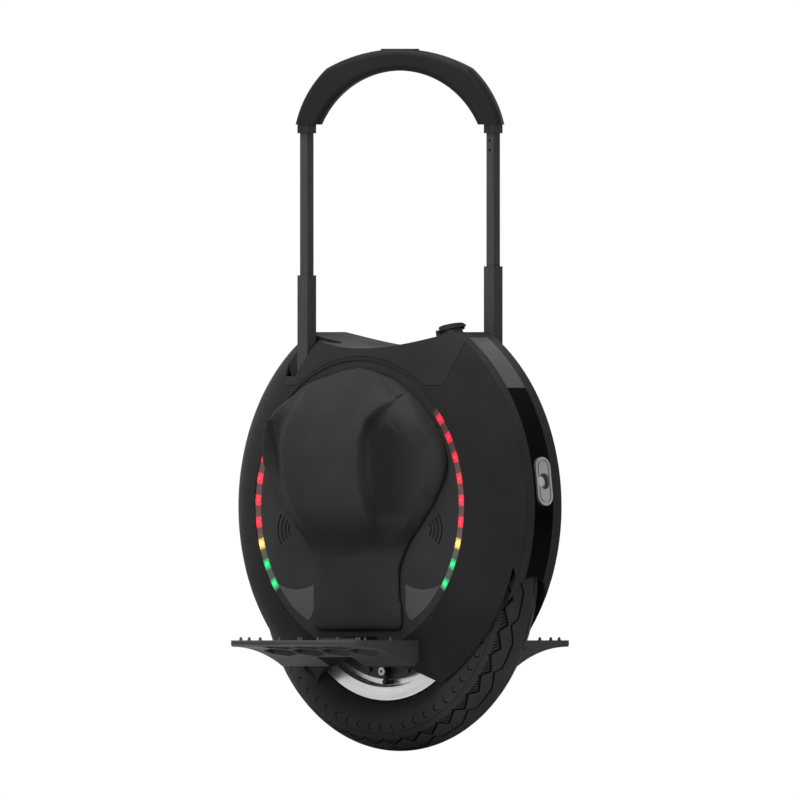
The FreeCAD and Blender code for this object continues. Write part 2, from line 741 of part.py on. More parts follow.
def saddle_point(x):
    """Height and slope of the saddle's arc at this distance from the middle."""
    radius = (SADDLE_HALF_LENGTH ** 2 + SADDLE_RISE ** 2) / (2 * SADDLE_RISE)
    drop = math.sqrt(radius ** 2 - x ** 2)
    return SADDLE_LOW_Z + radius - drop, math.degrees(math.atan(x / drop))


def on_saddle(shape, x):
    """Stand a piece, made upright at the origin, on the saddle's surface at this distance from the middle."""
    height, slope = saddle_point(x)
    placed = shape.copy()
    placed.rotate(ORIGIN, Y_AXIS, -slope)
    return placed.translated(Vector(x, 0, height))


def top_cover():
    panel = skin(WALL).common(panel_region(-SEAM / 2))
    middle = box(-BODY_RADIUS, BODY_RADIUS, -BAND_HALF_WIDTH, BAND_HALF_WIDTH, 0, BODY_TOP_Z)
    panel = panel.cut(middle)
    slab = dome(0).common(above_saddle(SADDLE_THICKNESS))
    trim = box(-SADDLE_HALF_LENGTH, SADDLE_HALF_LENGTH, -BODY_RADIUS, BODY_RADIUS, 0, BODY_TOP_Z)
    slab = slab.common(trim)
    room = dome(0).common(panel_region(-SEAM / 2)).cut(wheel_space())
    walls = pocket(POCKET_WALL, POCKET_FLOOR_Z - POCKET_WALL).common(room)
    cup_depth = POWER_HEIGHT + POWER_TRAVEL + POWER_CUP_WALL
    well_radius = POWER_RADIUS + MOVING_CLEARANCE
    cup = Part.makeCylinder(well_radius + POWER_CUP_WALL, cup_depth, Vector(0, 0, -cup_depth))
    cover = join([panel, slab, walls, half_turn(walls), on_saddle(cup, POWER_X)])
    well_depth = POWER_HEIGHT - POWER_RISE + POWER_TRAVEL + MOVING_CLEARANCE
    well = Part.makeCylinder(well_radius, well_depth + WALL, Vector(0, 0, -well_depth))
    port_hole = Part.makeCylinder(PORT_BODY_RADIUS, PORT_BODY_DEPTH * 2, Vector(0, 0, -PORT_BODY_DEPTH))
    slot = pocket(0, POCKET_FLOOR_Z)
    cuts = [slot, half_turn(slot), rod_passage(), half_turn(rod_passage()), above_saddle(0)]
    cuts += [on_saddle(well, POWER_X), on_saddle(port_hole, PORT_X)]
    for cut in cuts:
        cover = cover.cut(cut)
    return cover


def arch_opening():
    centre_z = ARCH_TOP_Z - ARCH_RADIUS
    reach = 2 * BODY_RADIUS
    round_top = cylinder_x(ARCH_RADIUS, 0, reach, 0, centre_z)
    return round_top.fuse(box(0, reach, -ARCH_RADIUS, ARCH_RADIUS, 0, centre_z))


def window_room(z0, z1, gap):
    half = WINDOW_HALF_WIDTH + gap
    return box(0, 2 * BODY_RADIUS, -half, half, z0 - gap, z1 + gap)


def obround_x(width, height, x0, x1):
    """Upright slot-shaped bar along X, at the body's centre height."""
    straight = (height - width) / 2
    half = width / 2
    start = (-half, BODY_CENTRE_Z - straight)
    steps = [
        ((0.0, BODY_CENTRE_Z - straight - half), (half, BODY_CENTRE_Z - straight)),
        (half, BODY_CENTRE_Z + straight),
        ((0.0, BODY_CENTRE_Z + straight + half), (-half, BODY_CENTRE_Z + straight)),
    ]
    face = outline_face(start, steps, lambda point: Vector(x0, point[0], point[1]))
    return face.extrude(Vector(x1 - x0, 0, 0))


def raised_to_light(shape):
    """Turn a piece about the body's axis up to the height of the lights."""
    placed = shape.copy()
    placed.rotate(Vector(0, 0, BODY_CENTRE_Z), Y_AXIS, -LIGHT_ANGLE)
    return placed


def light_hole():
    return raised_to_light(obround_x(LIGHT_WIDTH, LIGHT_HEIGHT, BODY_RADIUS - LIGHT_DEPTH, 2 * BODY_RADIUS))


def front_band():
    half = BAND_HALF_WIDTH - SEAM / 2
    side = box(0, BODY_RADIUS, -half, half, 0, BODY_TOP_Z)
    band = skin(WALL).common(side).cut(arch_opening()).cut(above_saddle(SADDLE_THICKNESS + SEAM))
    inlay = skin(WINDOW_DEPTH).common(window_room(0, WINDOW_TOP_Z, SEAM / 2))
    return band.cut(inlay).cut(light_hole())


def front_window():
    part = skin(WINDOW_DEPTH).common(window_room(0, WINDOW_CUT_Z - SEAM / 2, 0))
    return part.cut(arch_opening()).cut(light_hole())


def front_marker():
    return skin(WINDOW_DEPTH).common(window_room(WINDOW_CUT_Z, WINDOW_TOP_Z, 0))


def light_bezel():
    front_x = BODY_RADIUS + LIGHT_RISE
    bezel = obround_x(LIGHT_WIDTH, LIGHT_HEIGHT, BODY_RADIUS - LIGHT_DEPTH, front_x)
    outer = 2 * LIGHT_GROOVE_INSET
    inner = outer + 2 * LIGHT_GROOVE_WIDTH
    floor_x = front_x - LIGHT_GROOVE_DEPTH
    groove = obround_x(LIGHT_WIDTH - outer, LIGHT_HEIGHT - outer, floor_x, front_x)
    island = obround_x(LIGHT_WIDTH - inner, LIGHT_HEIGHT - inner, floor_x, front_x)
    return bezel.cut(groove.cut(island))


def headlight_bezel():
    front_x = BODY_RADIUS + LIGHT_RISE
    recess = cylinder_x(LAMP_RECESS_RADIUS, front_x - LAMP_RECESS_DEPTH, front_x, 0, BODY_CENTRE_Z)
    return raised_to_light(light_bezel().cut(recess))


def headlight_led():
    back_x = BODY_RADIUS + LIGHT_RISE - LAMP_RECESS_DEPTH
    return raised_to_light(cylinder_x(LAMP_RADIUS, back_x, back_x + LAMP_THICKNESS, 0, BODY_CENTRE_Z))


def tail_lens_blank():
    front_x = BODY_RADIUS + LIGHT_RISE
    inset = 2 * TAIL_LENS_INSET
    return obround_x(LIGHT_WIDTH - inset, LIGHT_HEIGHT - inset, front_x - TAIL_LENS_DEPTH, front_x)


def tail_light_bezel():
    return half_turn(raised_to_light(light_bezel().cut(tail_lens_blank())))


def tail_light_lens():
    return half_turn(raised_to_light(tail_lens_blank()))


def inner_frame():
    """Mudguard over the wheel, with a plate on each side that the shell and the hangers bolt to."""
    inside = dome(WALL).cut(above_saddle(SADDLE_THICKNESS)).cut(hub_opening(WALL))
    pocket_room = pocket(POCKET_WALL + SEAM, POCKET_FLOOR_Z - POCKET_WALL - SEAM)
    inside = inside.cut(pocket_room).cut(half_turn(pocket_room))
    reach = BODY_RADIUS
    hub_hole = cylinder_y(COVER_BOSS_RADIUS + WHEEL_ROOM, -reach, reach, 0, AXLE_Z)
    plate = box(-reach, reach, -FRAME_FACE_Y, -FRAME_PLATE_Y, 0, BODY_TOP_Z)
    plate = plate.common(inside).cut(hub_hole).cut(foot_slot())
    tunnel = ring(
        TYRE_RADIUS + WHEEL_ROOM,
        TYRE_RADIUS + WHEEL_ROOM + FRAME_THICKNESS,
        -FRAME_PLATE_Y,
        FRAME_PLATE_Y,
        AXLE_Z,
    )
    above_arch = box(-reach, reach, -reach, reach, ARCH_TOP_Z, BODY_TOP_Z)
    tunnel = tunnel.common(inside).common(above_arch)
    posts = [cylinder_y(POST_RADIUS, -COVER_BACK_Y, -FRAME_FACE_Y, x, z) for x, z in COVER_POSTS]
    right = join([plate, *posts]).cut(group(post_screw_bars())).cut(group(hanger_bolt_bars()))
    whole = join([right, half_turn(right), tunnel])
    return whole.cut(raised_to_light(obround_x(LIGHT_WIDTH, LIGHT_HEIGHT, BODY_RADIUS - LIGHT_DEPTH, reach)))


def post_screw_bars():
    return [cylinder_y(POST_SCREW_RADIUS, -COVER_FACE_Y, -FRAME_PLATE_Y, x, z) for x, z in COVER_POSTS]


def post_screw_heads():
    heads = []
    for x, z in COVER_POSTS:
        heads.append(cylinder_y(POST_SCREW_HEAD, -COVER_FACE_Y, -COVER_FACE_Y + COVER_WALL * 0.6, x, z))
    return heads


def cover_screws():
    right = group([bar.fuse(head) for bar, head in zip(post_screw_bars(), post_screw_heads())])
    return group([*right.Solids, *half_turn(right).Solids])


# Side cover and its lights, right side

def arc_strip(inner, outer, top_angle, bottom_angle, y0, y1):
    """Part of a ring about the body's axis, in front of the middle, between two angles above the level."""
    middle_angle = (top_angle + bottom_angle) / 2

    def point(radius, degrees):
        x, z = polar(radius, degrees)
        return x, BODY_CENTRE_Z + z

    return side_prism(
        point(inner, top_angle),
        [
            point(outer, top_angle),
            (point(outer, middle_angle), point(outer, bottom_angle)),
            point(inner, bottom_angle),
            (point(inner, middle_angle), point(inner, top_angle)),
        ],
        y0,
        y1,
    )


def mirrored_x(shape):
    return shape.mirror(ORIGIN, X_AXIS)


def front_guide(gap):
    gap_angle = math.degrees(gap / LED_CIRCLE)
    return arc_strip(
        GUIDE_INNER - gap,
        GUIDE_OUTER + gap,
        GUIDE_TOP_ANGLE + gap_angle,
        GUIDE_BOTTOM_ANGLE - gap_angle,
        -COVER_FACE_Y,
        -COVER_BACK_Y,
    )


def led_angles():
    step = (LED_LAST_ANGLE - LED_FIRST_ANGLE) / (LED_COUNT - 1)
    return [LED_FIRST_ANGLE + step * index for index in range(LED_COUNT)]


def front_leds(first, count):
    lamps = []
    for angle in led_angles()[first:first + count]:
        x, z = polar(LED_CIRCLE, angle)
        lamps.append(
            cylinder_y(LED_RADIUS, -COVER_FACE_Y - LED_RISE, -COVER_BACK_Y, x, BODY_CENTRE_Z + z)
        )
    return lamps


def all_sides(front_pieces):
    """Front pieces of the right side, with their rear mirror images and the left side's."""
    right = [*front_pieces, *[mirrored_x(piece) for piece in front_pieces]]
    return group([*right, *[half_turn(piece) for piece in right]])


def light_guides():
    guide = front_guide(0)
    for lamp in front_leds(0, LED_COUNT):
        guide = guide.cut(lamp)
    return all_sides([guide])


def front_insert(depth, rise, gap):
    """Leaf-shaped inlay beside the pad's neck."""
    outer = GUIDE_INNER - LEDGE_WIDTH * 0.1 + gap

    def rim_x(z):
        return math.sqrt(outer ** 2 - (BODY_CENTRE_Z - z) ** 2)

    top_z = INSERT_TOP_Z + gap
    low_z = INSERT_LOW_Z - gap
    inner_x = INSERT_INNER_X - gap
    mid_z = (top_z + low_z) / 2
    dip_x = (inner_x + rim_x(top_z)) / 2
    return side_prism(
        (inner_x, top_z),
        [
            (inner_x, mid_z),
            ((inner_x + 2, low_z + 6), (rim_x(low_z) - 4, low_z)),
            ((rim_x(mid_z), mid_z), (rim_x(top_z), top_z)),
            ((dip_x, top_z - 5), (inner_x, top_z)),
        ],
        -COVER_FACE_Y - rise,
        -COVER_FACE_Y + depth,
    )


def sound_slots():
    slots = []
    for index in range(SOUND_SLOT_COUNT):
        inner = SOUND_SLOT_FIRST + index * SOUND_SLOT_PITCH
        strip = arc_strip(
            inner,
            inner + SOUND_SLOT_WIDTH,
            SOUND_SLOT_ANGLE,
            -SOUND_SLOT_ANGLE,
            -COVER_FACE_Y,
            -COVER_BACK_Y,
        )
        slots.append(strip.translated(Vector(SPEAKER_X, 0, SPEAKER_Z - BODY_CENTRE_Z)))
    return slots


def side_cover_right():
    cover = cylinder_y(GUIDE_OUTER, -COVER_FACE_Y, -COVER_BACK_Y, 0, BODY_CENTRE_Z)
    front_cuts = [front_guide(SEAM / 2), front_insert(INSERT_DEPTH, 0, SEAM / 2), *sound_slots()]
    cuts = [*front_cuts, *[mirrored_x(cut) for cut in front_cuts]]
    cuts += [foot_slot(), group(post_screw_bars()), group(post_screw_heads())]
    for cut in cuts:
        cover = cover.cut(cut)
    return cover


def speakers():
    centre_x = SPEAKER_X + SOUND_SLOT_FIRST + SOUND_SLOT_PITCH
    right = cylinder_y(SPEAKER_RADIUS, -COVER_BACK_Y, -COVER_BACK_Y + SPEAKER_DEPTH, centre_x, SPEAKER_Z)
    return group([right, half_turn(right)])


def leg_pad_right():
    """Moulded pad: a plateau, a hollow with a ridge round it on either side, and a narrow neck below."""
    wires = []
    scale = FLANK_INNER_RADIUS / PAD_DRAWN_RADIUS
    for level, half, rear, rear_rise, bend, plateau, crease, front, front_rise, sag in PAD_LEVELS:
        height = BODY_CENTRE_Z + (level - PAD_DRAWN_CENTRE) * scale
        foot = half - PAD_UNDERCUT
        low = rear_rise * PAD_WALL_SHARE

        def between(x0, out0, x1, out1, lift):
            return (x0 + x1) / 2, (out0 + out1) / 2 + lift

        face = outline_face(
            (-foot, 0.0),
            [
                (foot, 0.0),
                (half, low),
                (between(half, low, front, front_rise, PAD_BULGE * (half - front)), (front, front_rise)),
                (between(front, front_rise, crease, plateau, -sag), (crease, plateau)),
                (between(crease, plateau, -bend, plateau, PAD_CROWN), (-bend, plateau)),
                (between(-bend, plateau, -rear, rear_rise, -sag), (-rear, rear_rise)),
                (between(-rear, rear_rise, -half, low, PAD_BULGE * (half - rear)), (-half, low)),
            ],
            lambda point: Vector(point[0] * scale, -COVER_FACE_Y - point[1], height),
        )
        wires.append(face.OuterWire)
    return Part.makeLoft(wires, True, False)


# Electrics

def battery_packs():
    right = box(
        -BATTERY_HALF_LENGTH,
        BATTERY_HALF_LENGTH,
        -FRAME_FACE_Y - BATTERY_THICKNESS,
        -FRAME_FACE_Y,
        BATTERY_LOW_Z,
        BATTERY_HIGH_Z,
    )
    return group([right, half_turn(right)])


def control_board():
    half = BOARD_HALF_LENGTH
    return box(-half, half, -FRAME_PLATE_Y, FRAME_PLATE_Y, BOARD_Z - BOARD_THICKNESS, BOARD_Z)


def heat_sink():
    top_z = BOARD_Z - BOARD_THICKNESS
    low_z = top_z - SINK_HEIGHT
    half = SINK_HALF_LENGTH
    width = SINK_HALF_WIDTH
    sink = box(-half, half, -width, width, low_z, top_z)
    pitch = 2 * half / SINK_FIN_COUNT
    half_gap = SINK_FIN_GAP / 2
    for index in range(1, SINK_FIN_COUNT):
        x = -half + index * pitch
        sink = sink.cut(box(x - half_gap, x + half_gap, -width, width, low_z, top_z - SINK_BASE))
    return sink


# Pedals, right side

def hanger_bolt_bars():
    reach = HANGER_FACE_Y
    return [
        cylinder_y(HANGER_BOLT_RADIUS, -reach, -FRAME_PLATE_Y, side * HANGER_BOLT_X, HANGER_BOLT_Z)
        for side in (-1, 1)
    ]


def pedal_hanger_right():
    half = HANGER_HALF_WIDTH
    arm = side_prism(
        (-half, FOOT_LOW_Z),
        [(half, FOOT_LOW_Z), (half, AXLE_Z), ((0.0, AXLE_Z + half), (-half, AXLE_Z))],
        -HANGER_FACE_Y,
        -FRAME_FACE_Y,
    )
    foot = box(-half, half, -HINGE_Y, -FRAME_FACE_Y, FOOT_LOW_Z, FOOT_HIGH_Z)
    knuckle = cylinder_x(KNUCKLE_RADIUS, -half, half, -HINGE_Y, HINGE_Z)
    hanger = join([arm, foot, knuckle])
    cuts = [
        cylinder_y(AXLE_RADIUS, -HANGER_FACE_Y, 0, 0, AXLE_Z),
        cylinder_x(HINGE_PIN_RADIUS, -half, half, -HINGE_Y, HINGE_Z),
        *hanger_bolt_bars(),
    ]
    for cut in cuts:
        hanger = hanger.cut(cut)
    return hanger


def hanger_fasteners():
    """Axle nuts, and the bolts that hold each hanger to the frame plate."""
    nut_points = [polar(NUT_RADIUS, 60 * index) for index in range(6)]
    corners = [(x, AXLE_Z + z) for x, z in nut_points]
    nut = side_prism(corners[0], corners[1:], -HANGER_FACE_Y - NUT_HEIGHT, -HANGER_FACE_Y)
    nut = nut.cut(cylinder_y(AXLE_RADIUS, -HANGER_FACE_Y - NUT_HEIGHT, -HANGER_FACE_Y, 0, AXLE_Z))
    pieces = [nut]
    for bar in hanger_bolt_bars():
        centre = bar.BoundBox.Center
        head = cylinder_y(
            HANGER_BOLT_HEAD, -HANGER_FACE_Y - NUT_HEIGHT, -HANGER_FACE_Y, centre.x, centre.z
        )
        pieces.append(bar.fuse(head))
    return group([*pieces, *[half_turn(piece) for piece in pieces]])


def hinge_pins():
    reach = PEDAL_HALF_LENGTH - PEDAL_LIP
    right = cylinder_x(HINGE_PIN_RADIUS, -reach, reach, -HINGE_Y, HINGE_Z)
    return group([right, half_turn(right)])


def stud_places():
    """Stud centres as (x, y): a row along the tip, two on each end and a pair in the middle."""
    row_y = -PEDAL_TIP_Y + STUD_EDGE_MARGIN
    row_x = PEDAL_HALF_LENGTH - STUD_EDGE_MARGIN
    places = [(row_x * index / STUD_ROW_STEPS, row_y) for index in range(-STUD_ROW_STEPS, STUD_ROW_STEPS + 1)]
    root_y = -HINGE_Y - KNUCKLE_RADIUS - CELL_RIB
    for x in (-row_x, row_x):
        places += [(x, row_y + STUD_PAIR_GAP), (x, root_y), (x / 2, root_y - CELL_RIB)]
    return places


def pedal_studs_right():
    studs = []
    shank_z = PEDAL_TOP_Z - STUD_SHANK_LENGTH
    for x, y in stud_places():
        head = Part.makeCone(STUD_RADIUS, STUD_TIP_RADIUS, STUD_HEIGHT, Vector(x, y, PEDAL_TOP_Z))
        shank = Part.makeCylinder(STUD_SHANK_RADIUS, STUD_SHANK_LENGTH, Vector(x, y, shank_z))
        studs.append(join([head, shank]))
    return group(studs)


def pedal_right():
    root_z = PEDAL_TOP_Z - PEDAL_ROOT_THICKNESS
    tip_z = PEDAL_TOP_Z - PEDAL_TIP_THICKNESS
    root_y = -HINGE_Y - KNUCKLE_RADIUS
    nose_y = -PEDAL_TIP_Y + PEDAL_TIP_THICKNESS / 2
    lip_y = -PEDAL_TIP_Y + PEDAL_LIP
    waist_z = PEDAL_TOP_Z - PEDAL_WAIST_THICKNESS
    section = outline_face(
        (-PEDAL_INNER_Y, PEDAL_TOP_Z),
        [
            (nose_y, PEDAL_TOP_Z),
            ((-PEDAL_TIP_Y, (PEDAL_TOP_Z + tip_z) / 2), (nose_y, tip_z)),
            (lip_y, tip_z - PEDAL_LIP / 4),
            ((-PEDAL_WAIST_Y, waist_z), (-PEDAL_THICK_Y, root_z)),
            (-PEDAL_INNER_Y - PEDAL_LIP, root_z),
            (-PEDAL_INNER_Y, root_z + PEDAL_LIP),
        ],
        lambda point: Vector(-PEDAL_HALF_LENGTH, point[0], point[1]),
    )
    slab = section.extrude(Vector(2 * PEDAL_HALF_LENGTH, 0, 0))
    plan = box(-PEDAL_HALF_LENGTH, PEDAL_HALF_LENGTH, -PEDAL_TIP_Y, -PEDAL_INNER_Y, root_z, PEDAL_TOP_Z)
    uprights = [edge for edge in plan.Edges if edge.BoundBox.ZLength > 1]
    outer_corners = [edge for edge in uprights if edge.CenterOfMass.y < root_y]
    pedal = slab.common(plan.makeFillet(PEDAL_CORNER_RADIUS, outer_corners))
    half = HANGER_HALF_WIDTH + MOVING_CLEARANCE
    notch_y = root_y - 2 * MOVING_CLEARANCE
    reach = 2 * PEDAL_HALF_LENGTH
    pin_end = PEDAL_HALF_LENGTH - PEDAL_LIP + MOVING_CLEARANCE
    cuts = [
        box(-half, half, notch_y, 0, 0, 2 * PEDAL_TOP_Z),
        cylinder_x(HINGE_PIN_RADIUS + RUNNING_CLEARANCE, -reach, pin_end, -HINGE_Y, HINGE_Z),
        group(pedal_cells(root_y)),
        pedal_studs_right(),
    ]
    for cut in cuts:
        pedal = pedal.cut(cut)
    return pedal


def pedal_cells(root_y):
    """Honeycomb of pockets in the underside, two staggered rows between the hinge and the tip."""
    half_width = CELL_RADIUS * math.cos(math.radians(30))
    pitch = 2 * half_width * CELL_STRETCH + CELL_RIB
    row_step = 1.5 * CELL_RADIUS + CELL_RIB
    first_y = root_y - CELL_RADIUS - CELL_RIB
    cells = []
    for row in range(2):
        count = CELL_ROW - row
        for index in range(count):
            x = (index - (count - 1) / 2) * pitch
            y = first_y - row * row_step
            corners = [polar(CELL_RADIUS, 60 * turn + 30) for turn in range(6)]
            points = [Vector(x + cx * CELL_STRETCH, y + cy, 0) for cx, cy in corners]
            face = Part.Face(Part.makePolygon([*points, points[0]]))
            cells.append(face.extrude(Vector(0, 0, PEDAL_TOP_Z - PEDAL_SKIN)))
    return cells


# Trolley handle

def rod_guides():
    side = LOWER_TUBE_SIDE + 2 * SLIDE_CLEARANCE
    bore = square_bar(side, 0, BODY_TOP_Z, TUBE_CORNER)
    half = GUIDE_BLOCK_HALF_LENGTH
    blocks = []
    for low_z in (GUIDE_BLOCK_LOW_Z, GUIDE_BLOCK_HIGH_Z):
        high_z = low_z + GUIDE_BLOCK_HEIGHT
        block = box(-ROD_X - half, -ROD_X + half, -COVER_BACK_Y, -FRAME_FACE_Y, low_z, high_z)
        blocks.append(block.cut(at_rear_rod(bore)))
    pieces = [*blocks, *[half_turn(block) for block in blocks]]
    return group(pieces)


def lower_tube(top_z):
    return square_tube(LOWER_TUBE_SIDE, LOWER_TUBE_WALL, LOWER_TUBE_BOTTOM_Z, top_z)


def lower_tube_front():
    return at_front_rod(lower_tube(FRONT_TUBE_TOP_Z))


def lower_tube_rear():
    return at_rear_rod(lower_tube(REAR_TUBE_TOP_Z))


def upper_tubes():
    tube = square_tube(UPPER_TUBE_SIDE, UPPER_TUBE_WALL, UPPER_TUBE_BOTTOM_Z, GRIP_LOW_Z + GRIP_SOCKET_DEPTH)
    front_tube = tube
    for drop in CATCH_HOLE_DROPS:
        hole = cylinder_y(CATCH_HOLE_RADIUS, -UPPER_TUBE_SIDE, 0, 0, COLLAR_LOW_Z - drop)
        front_tube = front_tube.cut(hole)
    return group([at_front_rod(front_tube), at_rear_rod(tube)])


def handle_collars():
    bore = square_bar(UPPER_TUBE_SIDE, COLLAR_LOW_Z, GRIP_LOW_Z, TUBE_CORNER)
    collar = square_bar(LOWER_TUBE_SIDE, COLLAR_LOW_Z, GRIP_LOW_Z, TUBE_CORNER).cut(bore)
    return group([at_front_rod(collar), at_rear_rod(collar)])


def along_handle(shape):
    placed = shape.copy()
    placed.rotate(ORIGIN, Z_AXIS, HANDLE_ANGLE)
    return placed


def grip():
    blank = side_prism(
        (GRIP_INNER_HALF, GRIP_LOW_Z),
        [
            (GRIP_OUTER_HALF, GRIP_LOW_Z),
            ((GRIP_SHOULDER_S, GRIP_SHOULDER_Z), (GRIP_CREST_S, GRIP_CREST_Z)),
            ((0.0, GRIP_TOP_Z), (-GRIP_CREST_S, GRIP_CREST_Z)),
            ((-GRIP_SHOULDER_S, GRIP_SHOULDER_Z), (-GRIP_OUTER_HALF, GRIP_LOW_Z)),
            (-GRIP_INNER_HALF, GRIP_LOW_Z),
            ((0.0, GRIP_INNER_TOP_Z), (GRIP_INNER_HALF, GRIP_LOW_Z)),
        ],
        -GRIP_HALF_WIDTH,
        GRIP_HALF_WIDTH,
    )
    long_edges = [
        edge for edge in blank.Edges
        if edge.BoundBox.YLength < 0.01 and edge.BoundBox.ZLength > 1
    ]
    handle = along_handle(blank.makeFillet(GRIP_ROUND, long_edges))
    socket = square_bar(UPPER_TUBE_SIDE, GRIP_LOW_Z, GRIP_LOW_Z + GRIP_SOCKET_DEPTH, TUBE_CORNER)
    well = button_blank(MOVING_CLEARANCE, GRIP_TOP_Z - BUTTON_DEPTH - BUTTON_TRAVEL, GRIP_TOP_Z * 2)
    for cut in (at_front_rod(socket), at_rear_rod(socket), along_handle(well)):
        handle = handle.cut(cut)
    return handle


def button_blank(gap, z0, z1):
    half = BUTTON_LENGTH / 2 + gap
    side = BUTTON_WIDTH / 2 + gap
    bar = box(-half, half, -side, side, z0, z1)
    uprights = [edge for edge in bar.Edges if edge.BoundBox.ZLength > 1]
    return bar.makeFillet(side * 0.9, uprights)


def release_button():
    return along_handle(button_blank(0, GRIP_TOP_Z - BUTTON_DEPTH, GRIP_TOP_Z + BUTTON_RISE))


# Charge port and power button

def charge_socket():
    length = PORT_BODY_DEPTH + PORT_COLLAR_HEIGHT
    body = Part.makeCylinder(PORT_BODY_RADIUS, length, Vector(0, 0, -PORT_BODY_DEPTH))
    collar = Part.makeCylinder(PORT_COLLAR_RADIUS, PORT_COLLAR_HEIGHT)
    inner = CAP_KNUCKLE_HALF + CAP_LIFT
    outer = inner + CAP_EAR_THICKNESS
    ears = []
    for y0, y1 in ((-outer, -inner), (inner, outer)):
        ears.append(cylinder_y(CAP_KNUCKLE_RADIUS, y0, y1, -CAP_HINGE_S, CAP_HINGE_H))
        stalk_x = -CAP_HINGE_S + CAP_KNUCKLE_RADIUS
        ears.append(box(-CAP_HINGE_S - CAP_KNUCKLE_RADIUS, stalk_x, y0, y1, 0, CAP_HINGE_H))
        ears.append(box(-CAP_HINGE_S, -PORT_BODY_RADIUS, y0, y1, 0, PORT_COLLAR_HEIGHT - CAP_LIFT))
    pin = cylinder_y(CAP_PIN_RADIUS, -outer, outer, -CAP_HINGE_S, CAP_HINGE_H)
    mouth_z = PORT_COLLAR_HEIGHT - PORT_MOUTH_DEPTH
    mouth = Part.makeCylinder(PORT_MOUTH_RADIUS, PORT_MOUTH_DEPTH, Vector(0, 0, mouth_z))
    bore = Part.makeCylinder(PORT_BORE_RADIUS, PORT_BORE_DEPTH, Vector(0, 0, mouth_z - PORT_BORE_DEPTH))
    proud = on_saddle(join([collar, *ears, pin]), PORT_X).common(above_saddle(0))
    hole = on_saddle(mouth.fuse(bore), PORT_X)
    return proud.fuse(on_saddle(body, PORT_X)).cut(hole)


def charge_cap():
    low = PORT_COLLAR_HEIGHT + CAP_LIFT
    disc = Part.makeCylinder(CAP_RADIUS, CAP_THICKNESS, Vector(0, 0, low))
    plug = Part.makeCylinder(CAP_PLUG_RADIUS, CAP_PLUG_DEPTH, Vector(0, 0, low - CAP_PLUG_DEPTH))
    tab = box(0, CAP_RADIUS + CAP_TAB_LENGTH, -3, 3, low, low + CAP_THICKNESS / 2)
    tongue = box(-CAP_HINGE_S, 0, -CAP_KNUCKLE_HALF, CAP_KNUCKLE_HALF, low, low + CAP_THICKNESS / 2)
    knuckle = cylinder_y(CAP_KNUCKLE_RADIUS, -CAP_KNUCKLE_HALF, CAP_KNUCKLE_HALF, -CAP_HINGE_S, CAP_HINGE_H)
    eye = cylinder_y(CAP_PIN_RADIUS + RUNNING_CLEARANCE, -CAP_RADIUS, CAP_RADIUS, -CAP_HINGE_S, CAP_HINGE_H)
    return on_saddle(join([disc, plug, tab, tongue, knuckle]).cut(eye), PORT_X)


def power_button():
    button = Part.makeCylinder(POWER_RADIUS, POWER_HEIGHT, Vector(0, 0, POWER_RISE - POWER_HEIGHT))
    return on_saddle(button, POWER_X)


NODES = {
    "tyre": tyre,
    "inner_tube": inner_tube,
    "rim": rim,
    "rotor_ring": rotor_ring,
    "rotor_magnets": rotor_magnets,
    "motor_covers": motor_covers,
    "motor_cover_screws": motor_cover_screws,
    "valve_stem": valve_stem,
    "wheel_bearings": wheel_bearings,
    "axle": axle,
    "stator_core": stator_core,
    "stator_windings": stator_windings,
    "motor_cable": motor_cable,
    "pedal_hanger_right": pedal_hanger_right,
    "pedal_hanger_left": lambda: half_turn(pedal_hanger_right()),
    "hanger_fasteners": hanger_fasteners,
    "hinge_pins": hinge_pins,
    "inner_frame": inner_frame,
    "shell_right": shell_right,
    "shell_left": lambda: half_turn(shell_right()),
    "front_band": front_band,
    "rear_band": lambda: half_turn(front_band()),
    "top_cover": top_cover,
    "front_window": front_window,
    "rear_window": lambda: half_turn(front_window()),
    "front_marker": front_marker,
    "rear_marker": lambda: half_turn(front_marker()),
    "headlight_bezel": headlight_bezel,
    "headlight_led": headlight_led,
    "tail_light_bezel": tail_light_bezel,
    "tail_light_lens": tail_light_lens,
    "side_cover_right": side_cover_right,
    "side_cover_left": lambda: half_turn(side_cover_right()),
    "light_guides": light_guides,
    "leds_red": lambda: all_sides(front_leds(0, RED_COUNT)),
    "leds_amber": lambda: all_sides(front_leds(RED_COUNT, AMBER_COUNT)),
    "leds_green": lambda: all_sides(front_leds(RED_COUNT + AMBER_COUNT, LED_COUNT)),
    "inserts": lambda: all_sides([front_insert(INSERT_DEPTH, INSERT_RISE, 0)]),
    "leg_pad_right": leg_pad_right,
    "leg_pad_left": lambda: leg_pad_right().mirror(ORIGIN, Y_AXIS),
    "battery_packs": battery_packs,
    "control_board": control_board,
    "heat_sink": heat_sink,
    "speakers": speakers,
    "charge_socket": charge_socket,
    "cover_screws": cover_screws,
    "rod_guides": rod_guides,
    "lower_tube_front": lower_tube_front,
    "lower_tube_rear": lower_tube_rear,
    "upper_tubes": upper_tubes,
    "handle_collars": handle_collars,
    "grip": grip,
    "release_button": release_button,
    "charge_cap": charge_cap,
    "power_button": power_button,
    "pedal_right": pedal_right,
    "pedal_left": lambda: half_turn(pedal_right()),
    "pedal_studs_right": pedal_studs_right,
    "pedal_studs_left": lambda: half_turn(pedal_studs_right()),
}

os.makedirs("parts", exist_ok=True)
for name, make in NODES.items():
    shape = make()
    shape.exportStep(f"parts/{name}.step")
    print(name, len(shape.Solids), "solids", round(shape.Volume / 1000, 1), "cm3", shape.isValid())
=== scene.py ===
# %% [markdown]
# # Dressing an electric unicycle
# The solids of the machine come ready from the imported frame, in metres, with forward along +X and up along
# +Z. This lesson gives each of them a finish, swaps the plain tyre for one with a cut tread, puffs up the
# leg pads, and sets up the light and the camera. The frame is loaded first, because every later piece rides
# on its bodies.

# %% Load the frame
import math

